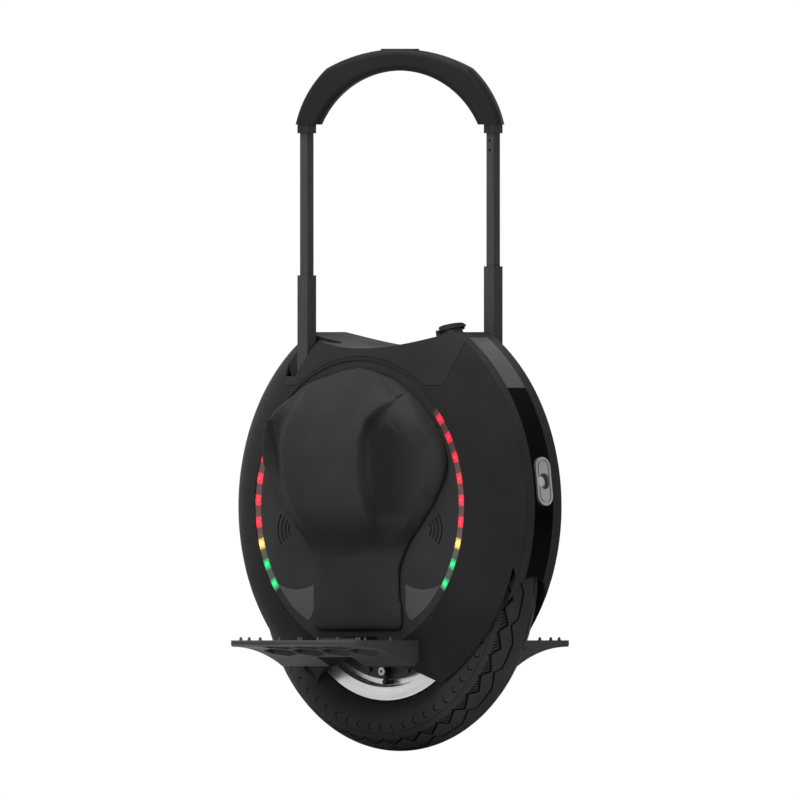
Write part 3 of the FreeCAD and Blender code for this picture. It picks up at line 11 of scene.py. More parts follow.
import bpy
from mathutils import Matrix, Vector


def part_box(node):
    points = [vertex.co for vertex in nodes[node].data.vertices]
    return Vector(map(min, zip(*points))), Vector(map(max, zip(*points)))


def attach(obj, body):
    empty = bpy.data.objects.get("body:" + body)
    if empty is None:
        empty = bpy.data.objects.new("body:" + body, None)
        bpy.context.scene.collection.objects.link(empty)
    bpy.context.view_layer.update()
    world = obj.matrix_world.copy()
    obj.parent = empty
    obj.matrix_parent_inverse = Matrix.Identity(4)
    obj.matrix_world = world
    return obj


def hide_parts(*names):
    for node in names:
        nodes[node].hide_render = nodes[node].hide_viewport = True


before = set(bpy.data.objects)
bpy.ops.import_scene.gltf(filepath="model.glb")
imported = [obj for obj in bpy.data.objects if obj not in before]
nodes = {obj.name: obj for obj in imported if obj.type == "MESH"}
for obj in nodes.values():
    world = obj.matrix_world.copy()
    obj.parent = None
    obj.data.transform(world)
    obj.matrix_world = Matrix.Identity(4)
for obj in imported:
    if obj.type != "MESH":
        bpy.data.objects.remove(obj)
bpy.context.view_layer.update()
scene = bpy.context.scene

# %% [markdown]
# ## Camera
# The picture was taken level, from the front right, through a very long lens: the wheel, the pedal and the
# grip keep their proportions, so an orthographic camera is the honest choice. The view is 0.8 m wide, so
# in a frame 800 pixels wide one pixel is one millimetre.

# %% Camera
VIEW_AZIMUTH = math.radians(44.2)
VIEW_WIDTH = 0.8
VIEW_HEIGHT = 0.3513
VIEW_DISTANCE = 3.0

toward_camera = Vector((math.sin(VIEW_AZIMUTH), -math.cos(VIEW_AZIMUTH), 0))
picture_right = Vector((math.cos(VIEW_AZIMUTH), math.sin(VIEW_AZIMUTH), 0))
lens = bpy.data.cameras.new("level_view")
lens.type = "ORTHO"
lens.ortho_scale = VIEW_WIDTH
camera = bpy.data.objects.new("level_view", lens)
camera.location = toward_camera * VIEW_DISTANCE + Vector((0, 0, VIEW_HEIGHT))
camera.rotation_mode = "QUATERNION"
camera.rotation_quaternion = (-toward_camera).to_track_quat("-Z", "Y")
scene.collection.objects.link(camera)
scene.camera = camera
print("camera at", tuple(round(v, 3) for v in camera.location))

# %% [markdown]
# ## Lamps
# Black plastic shows its shape by soft shading, so the lamps are large: one over the left shoulder of the
# camera, a weak one on the right, and one overhead that draws the rims of the saddle and the grip.

# %% Lamps
def soft_lamp(name, right, toward, up, size, watts, aim_z):
    """A square lamp placed as the camera sees it: to the right, towards the camera and up, in metres."""
    lamp = bpy.data.lights.new(name, "AREA")
    lamp.size = size
    lamp.energy = watts
    holder = bpy.data.objects.new(name, lamp)
    holder.location = picture_right * right + toward_camera * toward + Vector((0, 0, up))
    aim = Vector((0, 0, aim_z)) - holder.location
    holder.rotation_mode = "QUATERNION"
    holder.rotation_quaternion = aim.to_track_quat("-Z", "Y")
    scene.collection.objects.link(holder)
    return holder


soft_lamp("lamp_left", -1.2, 1.9, 1.5, 0.9, 28.0, 0.3)
soft_lamp("lamp_right", 1.9, 0.8, 0.9, 1.0, 2.0, 0.3)
soft_lamp("lamp_top", -0.4, 0.4, 2.3, 1.2, 43.0, 0.4)

print("lamps:", [lamp.name for lamp in bpy.data.lights])

# %% [markdown]
# ## White room
# The machine stands in a white room. The world is white for rays that look straight at it, are mirrored or
# pass through glass; the light that it sheds on the machine is dimmer and even, so that black stays black.

# %% White room
AMBIENT_STRENGTH = 0.24

world = bpy.data.worlds.new("white_room")
scene.world = world
world.use_nodes = True
tree = world.node_tree
tree.nodes.clear()
ray = tree.nodes.new("ShaderNodeLightPath")
seen = tree.nodes.new("ShaderNodeMath")
seen.operation = "MAXIMUM"
tree.links.new(ray.outputs["Is Camera Ray"], seen.inputs[0])
tree.links.new(ray.outputs["Is Glossy Ray"], seen.inputs[1])
through = tree.nodes.new("ShaderNodeMath")
through.operation = "MAXIMUM"
tree.links.new(seen.outputs[0], through.inputs[0])
tree.links.new(ray.outputs["Is Transmission Ray"], through.inputs[1])
shed = tree.nodes.new("ShaderNodeBackground")
shed.inputs["Strength"].default_value = AMBIENT_STRENGTH
shown = tree.nodes.new("ShaderNodeBackground")
shown.inputs["Color"].default_value = (1, 1, 1, 1)
shed.inputs["Color"].default_value = (1, 1, 1, 1)
either = tree.nodes.new("ShaderNodeMixShader")
tree.links.new(through.outputs[0], either.inputs[0])
tree.links.new(shed.outputs[0], either.inputs[1])
tree.links.new(shown.outputs[0], either.inputs[2])
sky = tree.nodes.new("ShaderNodeOutputWorld")
tree.links.new(either.outputs[0], sky.inputs["Surface"])
scene.view_settings.view_transform = "Standard"
print("world:", world.name)

# %% [markdown]
# ## Floor
# A pale floor takes the shadow that sets the tyre on the ground. It is one flat face, a hair below the
# tyre.

# %% Floor
FLOOR_HALF = 6.0
FLOOR_Z = -0.0005

floor_mesh = bpy.data.meshes.new("pale_floor")
floor_mesh.from_pydata(
    [
        (-FLOOR_HALF, -FLOOR_HALF, 0),
        (FLOOR_HALF, -FLOOR_HALF, 0),
        (FLOOR_HALF, FLOOR_HALF, 0),
        (-FLOOR_HALF, FLOOR_HALF, 0),
    ],
    [],
    [(0, 1, 2, 3)],
)
floor = bpy.data.objects.new("pale_floor", floor_mesh)
floor.location.z = FLOOR_Z
scene.collection.objects.link(floor)
paint = bpy.data.materials.new("pale_floor")
paint.use_nodes = True
paint.node_tree.nodes["Principled BSDF"].inputs["Base Color"].default_value = (0.86, 0.86, 0.86, 1)
paint.node_tree.nodes["Principled BSDF"].inputs["Roughness"].default_value = 0.9
floor_mesh.materials.append(paint)
print("floor is in place")

# %% [markdown]
# ## Small helpers for shader trees
# A finish is a tree of nodes. Two helpers keep the cells short: one adds a node and fills or links its
# inputs, the other opens a new group with named sockets, so that a grain made once serves many finishes.

# %% Shader helpers
def put(tree, kind, settings=None, **inputs):
    """Adds a node. Inputs are values or sockets to link, by name (_ for a space) or number (in0, in1)."""
    node = tree.nodes.new(kind)
    for name, value in (settings or {}).items():
        setattr(node, name, value)
    for name, value in inputs.items():
        key = int(name[2:]) if name[:2] == "in" and name[2:].isdigit() else name.replace("_", " ")
        socket = node.inputs[key]
        if isinstance(value, bpy.types.NodeSocket):
            tree.links.new(value, socket)
        else:
            socket.default_value = value
    return node


def sum_of(tree, operation, first, second=0.0, third=0.0):
    """One Math node, given by its operation, and its result."""
    return put(tree, "ShaderNodeMath", {"operation": operation}, in0=first, in1=second, in2=third).outputs[0]


def spread(tree, value, low, high, to_low=0.0, to_high=1.0):
    """Maps low..high smoothly to to_low..to_high, and stops there."""
    node = put(tree, "ShaderNodeMapRange", {"interpolation_type": "SMOOTHSTEP"}, in0=value, in1=low, in2=high)
    node.inputs[3].default_value = to_low
    node.inputs[4].default_value = to_high
    return node.outputs[0]


def mixed(tree, share, first, second):
    """A colour between two others."""
    mix = put(tree, "ShaderNodeMix", {"data_type": "RGBA"}, in0=share, in6=first, in7=second)
    return mix.outputs[2]


def open_group(name, inputs, outputs):
    """A new group with float inputs {name: default} and outputs {name: socket kind}."""
    group = bpy.data.node_groups.new(name, "ShaderNodeTree")
    for label, default in inputs.items():
        socket = group.interface.new_socket(label, in_out="INPUT", socket_type="NodeSocketFloat")
        socket.default_value = default
    for label, kind in outputs.items():
        group.interface.new_socket(label, in_out="OUTPUT", socket_type=kind)
    return group, group.nodes.new("NodeGroupInput"), group.nodes.new("NodeGroupOutput")


VALUE = "NodeSocketFloat"
COLOUR = "NodeSocketColor"
print("helpers ready")

# %% [markdown]
# ## Grain of moulded plastic
# The shell, the side covers and the grip come out of a tool that was etched, so their skin is a field of
# tiny pits with a slow drift in tone. A noise at pit scale gives the height, and a second, much larger one
# gives the drift.

# %% Moulded grain
grain_group, taken, given = open_group("moulded_grain", {"Scale": 900.0}, {"Grain": VALUE, "Drift": VALUE})
where = put(grain_group, "ShaderNodeTexCoord").outputs["Object"]
pits = put(grain_group, "ShaderNodeTexNoise", Vector=where, Scale=taken.outputs["Scale"], Detail=2.0,
           Roughness=0.6)
drift = put(grain_group, "ShaderNodeTexNoise", Vector=where, Scale=11.0, Detail=3.0, Roughness=0.55)
grain_group.links.new(pits.outputs["Fac"], given.inputs["Grain"])
grain_group.links.new(spread(grain_group, drift.outputs["Fac"], 0.3, 0.7), given.inputs["Drift"])
print("group:", grain_group.name)

# %% [markdown]
# ## Skin of the leg pads
# The pads are foam in a moulded skin with a leathery cell pattern. Distances to the edges of small random
# cells make the folds between the cells, and a drift darkens some areas a little, as handling does.

# %% Pad skin
skin_group, taken, given = open_group("pad_skin", {"Scale": 520.0}, {"Folds": VALUE, "Drift": VALUE})
where = put(skin_group, "ShaderNodeTexCoord").outputs["Object"]
bend = put(skin_group, "ShaderNodeTexNoise", Vector=where, Scale=240.0, Detail=2.0)
shifted = put(skin_group, "ShaderNodeVectorMath", {"operation": "MULTIPLY_ADD"}, in0=bend.outputs["Color"],
              in1=(0.0012, 0.0012, 0.0012), in2=where)
cells = put(skin_group, "ShaderNodeTexVoronoi", {"feature": "DISTANCE_TO_EDGE"}, Vector=shifted.outputs[0],
            Scale=taken.outputs["Scale"])
slow = put(skin_group, "ShaderNodeTexNoise", Vector=where, Scale=16.0, Detail=3.0)
skin_group.links.new(spread(skin_group, cells.outputs["Distance"], 0.0, 0.16), given.inputs["Folds"])
skin_group.links.new(spread(skin_group, slow.outputs["Fac"], 0.32, 0.68), given.inputs["Drift"])
print("group:", skin_group.name)

# %% [markdown]
# ## Lathe marks
# The rim and the motor covers are turned, so fine marks run round the axle. The distance from the axle,
# with very little of the angle mixed in, drives a noise: it changes fast along the radius and slowly round
# the wheel.

# %% Lathe marks
AXLE_Z = 0.182
lathe_group, taken, given = open_group("lathe_marks", {"Fineness": 1600.0}, {"Marks": VALUE})
where = put(lathe_group, "ShaderNodeTexCoord").outputs["Object"]
parts = put(lathe_group, "ShaderNodeSeparateXYZ", in0=where)
up = sum_of(lathe_group, "SUBTRACT", parts.outputs["Z"], AXLE_Z)
flat = put(lathe_group, "ShaderNodeCombineXYZ", X=parts.outputs["X"], Z=up)
from_axle = put(lathe_group, "ShaderNodeVectorMath", {"operation": "LENGTH"}, in0=flat.outputs[0])
along = sum_of(lathe_group, "ADD", from_axle.outputs["Value"], parts.outputs["Y"])
fast = sum_of(lathe_group, "MULTIPLY", along, taken.outputs["Fineness"])
angle = sum_of(lathe_group, "ARCTAN2", up, parts.outputs["X"])
unrolled = put(lathe_group, "ShaderNodeCombineXYZ", X=fast, Y=angle)
marks = put(lathe_group, "ShaderNodeTexNoise", {"noise_dimensions": "2D"}, Vector=unrolled.outputs[0],
            Scale=1.0, Detail=3.0, Roughness=0.7)
lathe_group.links.new(marks.outputs["Fac"], given.inputs["Marks"])
print("group:", lathe_group.name)

# %% [markdown]
# ## Draw marks
# The handle tubes are drawn and then anodised: their marks run lengthwise. The same kind of noise is
# squeezed in the two short directions and stretched along Z.

# %% Draw marks
drawn_group, taken, given = open_group("draw_marks", {"Fineness": 700.0}, {"Marks": VALUE})
where = put(drawn_group, "ShaderNodeTexCoord").outputs["Object"]
fineness = taken.outputs["Fineness"]
fine = put(drawn_group, "ShaderNodeCombineXYZ", X=fineness, Y=fineness, Z=9.0)
squeezed = put(drawn_group, "ShaderNodeVectorMath", {"operation": "MULTIPLY"}, in0=where, in1=fine.outputs[0])
marks = put(drawn_group, "ShaderNodeTexNoise", Vector=squeezed.outputs[0], Scale=1.0, Detail=2.0)
drawn_group.links.new(marks.outputs["Fac"], given.inputs["Marks"])
print("group:", drawn_group.name)

# %% [markdown]
# ## Finishes with a grain
# Most pieces differ only in tone, gloss and coarseness. A function builds such a finish from the grain
# group: the drift mixes two close tones and two close roughnesses, and the pits feed a bump. A metal is the
# same with its Metallic input up.

# %% Grained finishes
def two_tones(tone, contrast):
    """A darker and a lighter colour round a tone, which is a grey value or red, green and blue."""
    rgb = (tone, tone, tone) if isinstance(tone, float) else tone
    return [(*[v * share for v in rgb], 1.0) for share in (1 - contrast, 1 + contrast)]


def blank_finish(name):
    finish = bpy.data.materials.new(name)
    finish.use_nodes = True
    return finish, finish.node_tree, finish.node_tree.nodes["Principled BSDF"]


def grained(name, tone, rough, specular=0.5, scale=900.0, depth=0.00008, contrast=0.12, metallic=0.0):
    finish, tree, surface = blank_finish(name)
    grain = put(tree, "ShaderNodeGroup", {"node_tree": grain_group})
    grain.inputs["Scale"].default_value = scale
    dark, light = two_tones(tone, contrast)
    colour = mixed(tree, grain.outputs["Drift"], dark, light)
    tree.links.new(colour, surface.inputs["Base Color"])
    gloss = spread(tree, grain.outputs["Drift"], 0.0, 1.0, rough + 0.05, rough - 0.05)
    tree.links.new(gloss, surface.inputs["Roughness"])
    bump = put(tree, "ShaderNodeBump", Strength=0.6, Distance=depth, Height=grain.outputs["Grain"])
    tree.links.new(bump.outputs[0], surface.inputs["Normal"])
    surface.inputs["Specular IOR Level"].default_value = specular
    surface.inputs["Metallic"].default_value = metallic
    return finish


def dress(finish, *names):
    """Gives CAD nodes their finish."""
    for name in names:
        piece = nodes[name]
        if not piece.material_slots:
            piece.data.materials.append(finish)
        for place in piece.material_slots:
            place.material = finish


dress(grained("shell_black", 0.020, 0.48, specular=0.01), "shell_right", "shell_left")
dress(grained("band_black", 0.022, 0.40, specular=0.04), "front_band", "rear_band")
dress(grained("saddle_black", 0.022, 0.50, specular=0.02), "top_cover")
dress(grained("side_cover_grey", 0.030, 0.55, specular=0.03), "side_cover_right", "side_cover_left")
dress(grained("insert_grey", 0.072, 0.55, specular=0.04), "inserts")
dress(grained("grip_black", 0.012, 0.46, specular=0.07, scale=700.0, depth=0.0001), "grip")
dress(grained("collar_black", 0.008, 0.42, specular=0.28), "handle_collars", "release_button")
dress(grained("port_black", 0.010, 0.45, specular=0.3), "charge_socket", "power_button")
dress(grained("cap_rubber", 0.014, 0.6, specular=0.25, scale=500.0), "charge_cap")
dress(grained("frame_plastic", 0.012, 0.6, specular=0.25), "inner_frame", "rod_guides", "speakers")
dress(grained("pedal_cast", 0.021, 0.52, specular=0.3, scale=420.0, depth=0.00016),
      "pedal_right", "pedal_left")
dress(grained("hanger_cast", 0.011, 0.5, specular=0.3, scale=420.0, depth=0.00016),
      "pedal_hanger_right", "pedal_hanger_left")
dress(grained("stud_steel", 0.022, 0.45, specular=0.35), "pedal_studs_right", "pedal_studs_left")
dress(grained("bolt_steel", 0.42, 0.35, metallic=1.0),
      "hanger_fasteners", "axle", "wheel_bearings", "rotor_ring", "stator_core")
dress(grained("screw_black", 0.03, 0.4, metallic=0.6),
      "cover_screws", "motor_cover_screws", "hinge_pins")
dress(grained("magnet_nickel", 0.5, 0.3, metallic=1.0), "rotor_magnets")
dress(grained("winding_copper", (0.62, 0.25, 0.12), 0.35, metallic=1.0), "stator_windings")
dress(grained("cable_black", 0.012, 0.5), "motor_cable")
dress(grained("tube_rubber", 0.012, 0.65), "inner_tube")
dress(grained("battery_wrap", (0.02, 0.05, 0.12), 0.4), "battery_packs")
dress(grained("board_green", (0.01, 0.06, 0.03), 0.4), "control_board")
dress(grained("sink_aluminium", 0.55, 0.4, metallic=1.0), "heat_sink")
dress(grained("bezel_satin", 0.24, 0.34, metallic=0.85, contrast=0.06), "headlight_bezel", "tail_light_bezel")
print("grained finishes:", len(bpy.data.materials))

# %% [markdown]
# ## Gloss black windows and the marker above them
# A polished strip runs up the front and the back. It is moulded in clear-coated black; only its top is a
# separate satin piece, given a lighter grey as a painted reflection of the light from above. Polish shows
# faint waves rather than pits, so the bump is broad and very shallow.

# %% Windows and markers
def polished(name, tone, rough, specular, coat):
    finish, tree, surface = blank_finish(name)
    grain = put(tree, "ShaderNodeGroup", {"node_tree": grain_group})
    grain.inputs["Scale"].default_value = 60.0
    dark, light = two_tones(tone, 0.15)
    colour = mixed(tree, grain.outputs["Drift"], dark, light)
    tree.links.new(colour, surface.inputs["Base Color"])
    gloss = spread(tree, grain.outputs["Grain"], 0.3, 0.7, rough, rough + 0.03)
    tree.links.new(gloss, surface.inputs["Roughness"])
    bump = put(tree, "ShaderNodeBump", Strength=0.15, Distance=0.0002, Height=grain.outputs["Grain"])
    tree.links.new(bump.outputs[0], surface.inputs["Normal"])
    surface.inputs["Specular IOR Level"].default_value = specular
    surface.inputs["Coat Weight"].default_value = coat
    surface.inputs["Coat Roughness"].default_value = 0.05
    return finish


dress(polished("window_black", 0.0012, 0.10, 0.02, 0.0), "front_window", "rear_window")
# The marker's lighter grey is a painted reflection of the light from above.
dress(polished("marker_grey", 0.062, 0.34, 0.1, 0.0), "front_marker", "rear_marker")
dress(polished("tail_lens_red", (0.20, 0.006, 0.008), 0.12, 0.5, 0.3), "tail_light_lens")
print("windows done")

# %% [markdown]
# ## Turned metal: rim and motor covers
# The rim's flange is bright turned aluminium and its barrel catches the light in streaks; the motor covers
# are the same metal painted dark grey. The lathe marks drive tone, roughness and a slight bump.

# %% Turned metal
def turned_metal(name, dark, light, rough, metallic, fineness):
    finish, tree, surface = blank_finish(name)
    lathe = put(tree, "ShaderNodeGroup", {"node_tree": lathe_group})
    lathe.inputs["Fineness"].default_value = fineness
    marks = spread(tree, lathe.outputs["Marks"], 0.25, 0.75)
    colour = mixed(tree, marks, (dark, dark, dark, 1), (light, light, light * 1.01, 1))
    tree.links.new(colour, surface.inputs["Base Color"])
    gloss = spread(tree, lathe.outputs["Marks"], 0.2, 0.8, rough + 0.08, rough - 0.06)
    tree.links.new(gloss, surface.inputs["Roughness"])
    bump = put(tree, "ShaderNodeBump", Strength=0.4, Distance=0.00005, Height=lathe.outputs["Marks"])
    tree.links.new(bump.outputs[0], surface.inputs["Normal"])
    surface.inputs["Metallic"].default_value = metallic
    return finish


dress(turned_metal("rim_aluminium", 0.55, 0.78, 0.30, 0.9, 1500.0), "rim")
dress(turned_metal("motor_cover_paint", 0.010, 0.022, 0.45, 0.2, 900.0), "motor_covers")
print("turned metal done")

# %% [markdown]
# ## Valve
# The stem is black rubber; only the lip round its open end is bare brass. The lip is found by place: near
# the end of the stem, and outside a small circle round its bore.

# %% Valve
VALVE_END_Z = 0.080
VALVE_LIP_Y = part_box("valve_stem")[0][1] + 0.0012
finish, tree, surface = blank_finish("valve_rubber_and_brass")
lathe = put(tree, "ShaderNodeGroup", {"node_tree": lathe_group})
place = put(tree, "ShaderNodeSeparateXYZ", in0=put(tree, "ShaderNodeTexCoord").outputs["Object"])
low = sum_of(tree, "SUBTRACT", place.outputs["Z"], VALVE_END_Z)
across = put(tree, "ShaderNodeCombineXYZ", X=place.outputs["X"], Z=low)
reach = put(tree, "ShaderNodeVectorMath", {"operation": "LENGTH"}, in0=across.outputs[0]).outputs["Value"]
on_lip = spread(tree, place.outputs["Y"], VALVE_LIP_Y, VALVE_LIP_Y + 0.0004, 1.0, 0.0)
brass = sum_of(tree, "MULTIPLY", on_lip, spread(tree, reach, 0.0014, 0.0018))
colour = mixed(tree, brass, (0.012, 0.012, 0.012, 1), (0.75, 0.74, 0.70, 1))
tree.links.new(colour, surface.inputs["Base Color"])
tree.links.new(spread(tree, lathe.outputs["Marks"], 0.2, 0.8, 0.5, 0.38), surface.inputs["Roughness"])
surface.inputs["Specular IOR Level"].default_value = 0.2
dress(finish, "valve_stem")
print("valve done")

# %% [markdown]
# ## Anodised handle tubes
# Black anodising over drawn aluminium: a dark satin metal with marks along the tube.

# %% Handle tubes
finish, tree, surface = blank_finish("tube_anodised")
drawn = put(tree, "ShaderNodeGroup", {"node_tree": drawn_group})
colour = mixed(tree, drawn.outputs["Marks"], (0.032, 0.032, 0.033, 1), (0.066, 0.066, 0.068, 1))
tree.links.new(colour, surface.inputs["Base Color"])
tree.links.new(spread(tree, drawn.outputs["Marks"], 0.3, 0.7, 0.40, 0.30), surface.inputs["Roughness"])
bump = put(tree, "ShaderNodeBump", Strength=0.3, Distance=0.00003, Height=drawn.outputs["Marks"])
tree.links.new(bump.outputs[0], surface.inputs["Normal"])
surface.inputs["Specular IOR Level"].default_value = 0.04
dress(finish, "upper_tubes", "lower_tube_front", "lower_tube_rear")
print("tubes done")

# %% [markdown]
# ## Ring of lights
# On each side two arcs of milky guide hold nine lights each: six red, one amber, two green, read from the
# top down. The finish works out, from the angle round the body's centre, which light is nearest and how far
# it is, so each light has a pale core and each gap in the guide takes the colour of its neighbours.

# %% Ring of lights
BODY_CENTRE_Z = 0.245
LIGHT_CIRCLE = 0.14185
FIRST_LIGHT = math.radians(38.0)
LAST_LIGHT = math.radians(-33.0)
LIGHT_STEP = (FIRST_LIGHT - LAST_LIGHT) / 8
LIGHT_RED = (1.0, 0.012, 0.035, 1)
LIGHT_AMBER = (0.95, 0.55, 0.12, 1)
LIGHT_GREEN = (0.0, 0.46, 0.13, 1)

row_group, taken, given = open_group("light_row", {}, {"Colour": COLOUR, "Distance": VALUE})
where = put(row_group, "ShaderNodeTexCoord").outputs["Object"]
parts = put(row_group, "ShaderNodeSeparateXYZ", in0=where)
up = sum_of(row_group, "SUBTRACT", parts.outputs["Z"], BODY_CENTRE_Z)
side = sum_of(row_group, "ABSOLUTE", parts.outputs["X"])
angle = sum_of(row_group, "ARCTAN2", up, side)
steps = sum_of(row_group, "DIVIDE", sum_of(row_group, "SUBTRACT", FIRST_LIGHT, angle), LIGHT_STEP)
nearest = sum_of(row_group, "ROUND", steps)
steps_off = sum_of(row_group, "SUBTRACT", steps, nearest)
aside = sum_of(row_group, "ABSOLUTE", sum_of(row_group, "MULTIPLY", steps_off, LIGHT_STEP * LIGHT_CIRCLE))
flat = put(row_group, "ShaderNodeCombineXYZ", X=side, Z=up)
reach = put(row_group, "ShaderNodeVectorMath", {"operation": "LENGTH"}, in0=flat.outputs[0]).outputs["Value"]
outward = sum_of(row_group, "ABSOLUTE", sum_of(row_group, "SUBTRACT", reach, LIGHT_CIRCLE))
distance = sum_of(row_group, "MAXIMUM", aside, outward)
warm = mixed(row_group, spread(row_group, steps, 5.3, 5.8), LIGHT_RED, LIGHT_AMBER)
cool = mixed(row_group, spread(row_group, steps, 6.2, 6.8), warm, LIGHT_GREEN)
row_group.links.new(cool, given.inputs["Colour"])
row_group.links.new(distance, given.inputs["Distance"])
print("step between lights, degrees:", math.degrees(LIGHT_STEP))

# %% [markdown]
# The lights themselves glow, with a slightly paler core. The guide between them is a milky strip that glows
# near each light and is dim between them.

# %% Lights and guides
finish, tree, surface = blank_finish("light_core")
row = put(tree, "ShaderNodeGroup", {"node_tree": row_group})
pale = mixed(tree, 0.07, row.outputs["Colour"], (1, 1, 1, 1))
glow = mixed(tree, spread(tree, row.outputs["Distance"], 0.0003, 0.0018), pale, row.outputs["Colour"])
tree.links.new(glow, surface.inputs["Emission Color"])
tree.links.new(row.outputs["Colour"], surface.inputs["Base Color"])
surface.inputs["Emission Strength"].default_value = 1.5
surface.inputs["Roughness"].default_value = 0.3
dress(finish, "leds_red", "leds_amber", "leds_green")

finish, tree, surface = blank_finish("light_guide_milky")
row = put(tree, "ShaderNodeGroup", {"node_tree": row_group})
grain = put(tree, "ShaderNodeGroup", {"node_tree": grain_group})
tint = mixed(tree, 0.05, (0.03, 0.03, 0.03, 1), row.outputs["Colour"])
tree.links.new(tint, surface.inputs["Base Color"])
dim = mixed(tree, 0.018, (0.018, 0.016, 0.016, 1), row.outputs["Colour"])
haze = mixed(tree, spread(tree, row.outputs["Distance"], 0.0040, 0.0064), row.outputs["Colour"], dim)
tree.links.new(haze, surface.inputs["Emission Color"])
tree.links.new(spread(tree, grain.outputs["Grain"], 0.3, 0.7, 0.3, 0.42), surface.inputs["Roughness"])
surface.inputs["Emission Strength"].default_value = 0.9
dress(finish, "light_guides")
print("lights and guides done")

# %% [markdown]
# ## Headlight
# The lens of the headlight is off in the picture: pale glass with small facets, which a noise stands for.

# %% Headlight
finish, tree, surface = blank_finish("headlight_glass")
grain = put(tree, "ShaderNodeGroup", {"node_tree": grain_group})
grain.inputs["Scale"].default_value = 350.0
tree.links.new(spread(tree, grain.outputs["Grain"], 0.3, 0.7, 0.08, 0.2), surface.inputs["Roughness"])
facet = mixed(tree, grain.outputs["Grain"], (0.55, 0.56, 0.58, 1), (0.95, 0.96, 1, 1))
tree.links.new(facet, surface.inputs["Base Color"])
dress(finish, "headlight_led")
print("headlight done")

# %% [markdown]
# ## Tyre with a cut tread
# The solid tyre is smooth. On the real one a plain centre band is flanked by long blades with a stepped
# edge, and two wedge combs sit beside each blade; a mould line and a row of curved ticks run round the
# sidewall. Edges of blades and combs are the highest or lowest of a few straight lines, drawn in degrees of
# lean over the length of a blade. These grooves have real depth in a lathed mesh; the slits and ticks,
# about a millimetre wide, are left to the shader.

# %% Tread pattern
TREAD_BLADES = 21
BLADE_STEPS = 48
SECTION_CENTRE = 0.154
SECTION_RADIUS = 0.0278
GROOVE_DEPTH = 0.0022
GROOVE_HALF_WIDTH = 2.9
TREAD_EDGE = 64.0
RIGHT_SHIFT = -0.074
LEFT_SHIFT = 0.426
BLADE_LINES = ((-43.0, 30.0), (4.8, 13.3), (96.0, -66.0))
COMB_LINES = ((44.4, 37.0), (-23.8, 61.3))
SPUR_END = 57.0


def ditch(offset, half_width):
    """1 in the middle of a groove, falling smoothly to 0 at its sides."""
    share = min(abs(offset) / half_width, 1.0)
    return (1 - share * share) ** 2


def groove_depth(blade, lean):
    """Depth of the tread at a place along one blade (0..1) and at a lean in degrees from the crown."""
    comb = 2 * blade % 1
    blade_edge = max(slope * blade + start for slope, start in BLADE_LINES)
    comb_edge = min(slope * comb + start for slope, start in COMB_LINES)
    share = max(ditch(lean - blade_edge, GROOVE_HALF_WIDTH), ditch(lean - comb_edge, GROOVE_HALF_WIDTH))
    slope, start = COMB_LINES[0]
    if comb_edge < lean < SPUR_END:
        share = max(share, ditch(lean - slope * comb - start, GROOVE_HALF_WIDTH))
    return share * GROOVE_DEPTH


print("groove at a blade's corner, m:", groove_depth(0.0, 30.0))

# %% [markdown]
# The mesh is lathed: one round section with its beads is set down at many small turns, and each point is
# sunk by the depth of the tread there. A map that holds the place along the blades and the lean goes with
# it, for the shader.

# %% Tyre mesh
def section_points():
    """Outer section as (lean, radius, half width) from one bead over the crown to the other."""
    leans = [-128 + 4 * i for i in range(13)]
    leans += [-76 + 1.25 * i for i in range(1, 121)]
    leans += [78 + 4 * i for i in range(13)]
    points = [(lean, *section_place(lean, 0.0)) for lean in leans]
    bead = [(0.1326, 0.0205), (0.1314, 0.0166), (0.1302, 0.0158), (0.1262, 0.0155), (0.1256, 0.0110)]
    first = [(-140.0, r, -y) for r, y in reversed(bead)]
    last = [(140.0, r, y) for r, y in bead]
    return first + points + last


def section_place(lean, sunk):
    """Radius and offset of a point of the round section, sunk below its face."""
    reach = SECTION_RADIUS - sunk
    return SECTION_CENTRE + reach * math.cos(math.radians(lean)), reach * math.sin(math.radians(lean))


def lathed_tyre(name):
    section = section_points()
    count = TREAD_BLADES * BLADE_STEPS
    verts = []
    for step in range(count):
        turn = -2 * math.pi * step / count
        for lean, radius, offset in section:
            if abs(lean) < TREAD_EDGE:
                blade = (step / BLADE_STEPS + (RIGHT_SHIFT if lean < 0 else LEFT_SHIFT)) % 1
                radius, offset = section_place(lean, groove_depth(blade, abs(lean)))
            verts.append((radius * math.cos(turn), offset, AXLE_Z + radius * math.sin(turn)))
    across = len(section)
    faces = []
    for step in range(count):
        here, there = step * across, (step + 1) % count * across
        for j in range(across - 1):
            faces.append((here + j, here + j + 1, there + j + 1, there + j))
        faces.append((here + across - 1, here, there, there + across - 1))
    mesh = bpy.data.meshes.new(name)
    mesh.from_pydata(verts, [], faces)
    layer = mesh.uv_layers.new(name="tread_map").data
    for face in mesh.polygons:
        face.use_smooth = True
        step = face.index // across
        for loop in face.loop_indices:
            vertex = mesh.loops[loop].vertex_index
            row = vertex // across
            row += count if step == count - 1 and row == 0 else 0
            lean = section[vertex % across][0]
            shift = RIGHT_SHIFT if lean < 0 else LEFT_SHIFT
            layer[loop].uv = (row / BLADE_STEPS + shift, abs(lean) / 100)
    tyre = bpy.data.objects.new(name, mesh)
    scene.collection.objects.link(tyre)
    return tyre


tyre = lathed_tyre("treaded_tyre")
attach(tyre, "wheel")
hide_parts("tyre")
print("tyre vertices:", len(tyre.data.vertices))
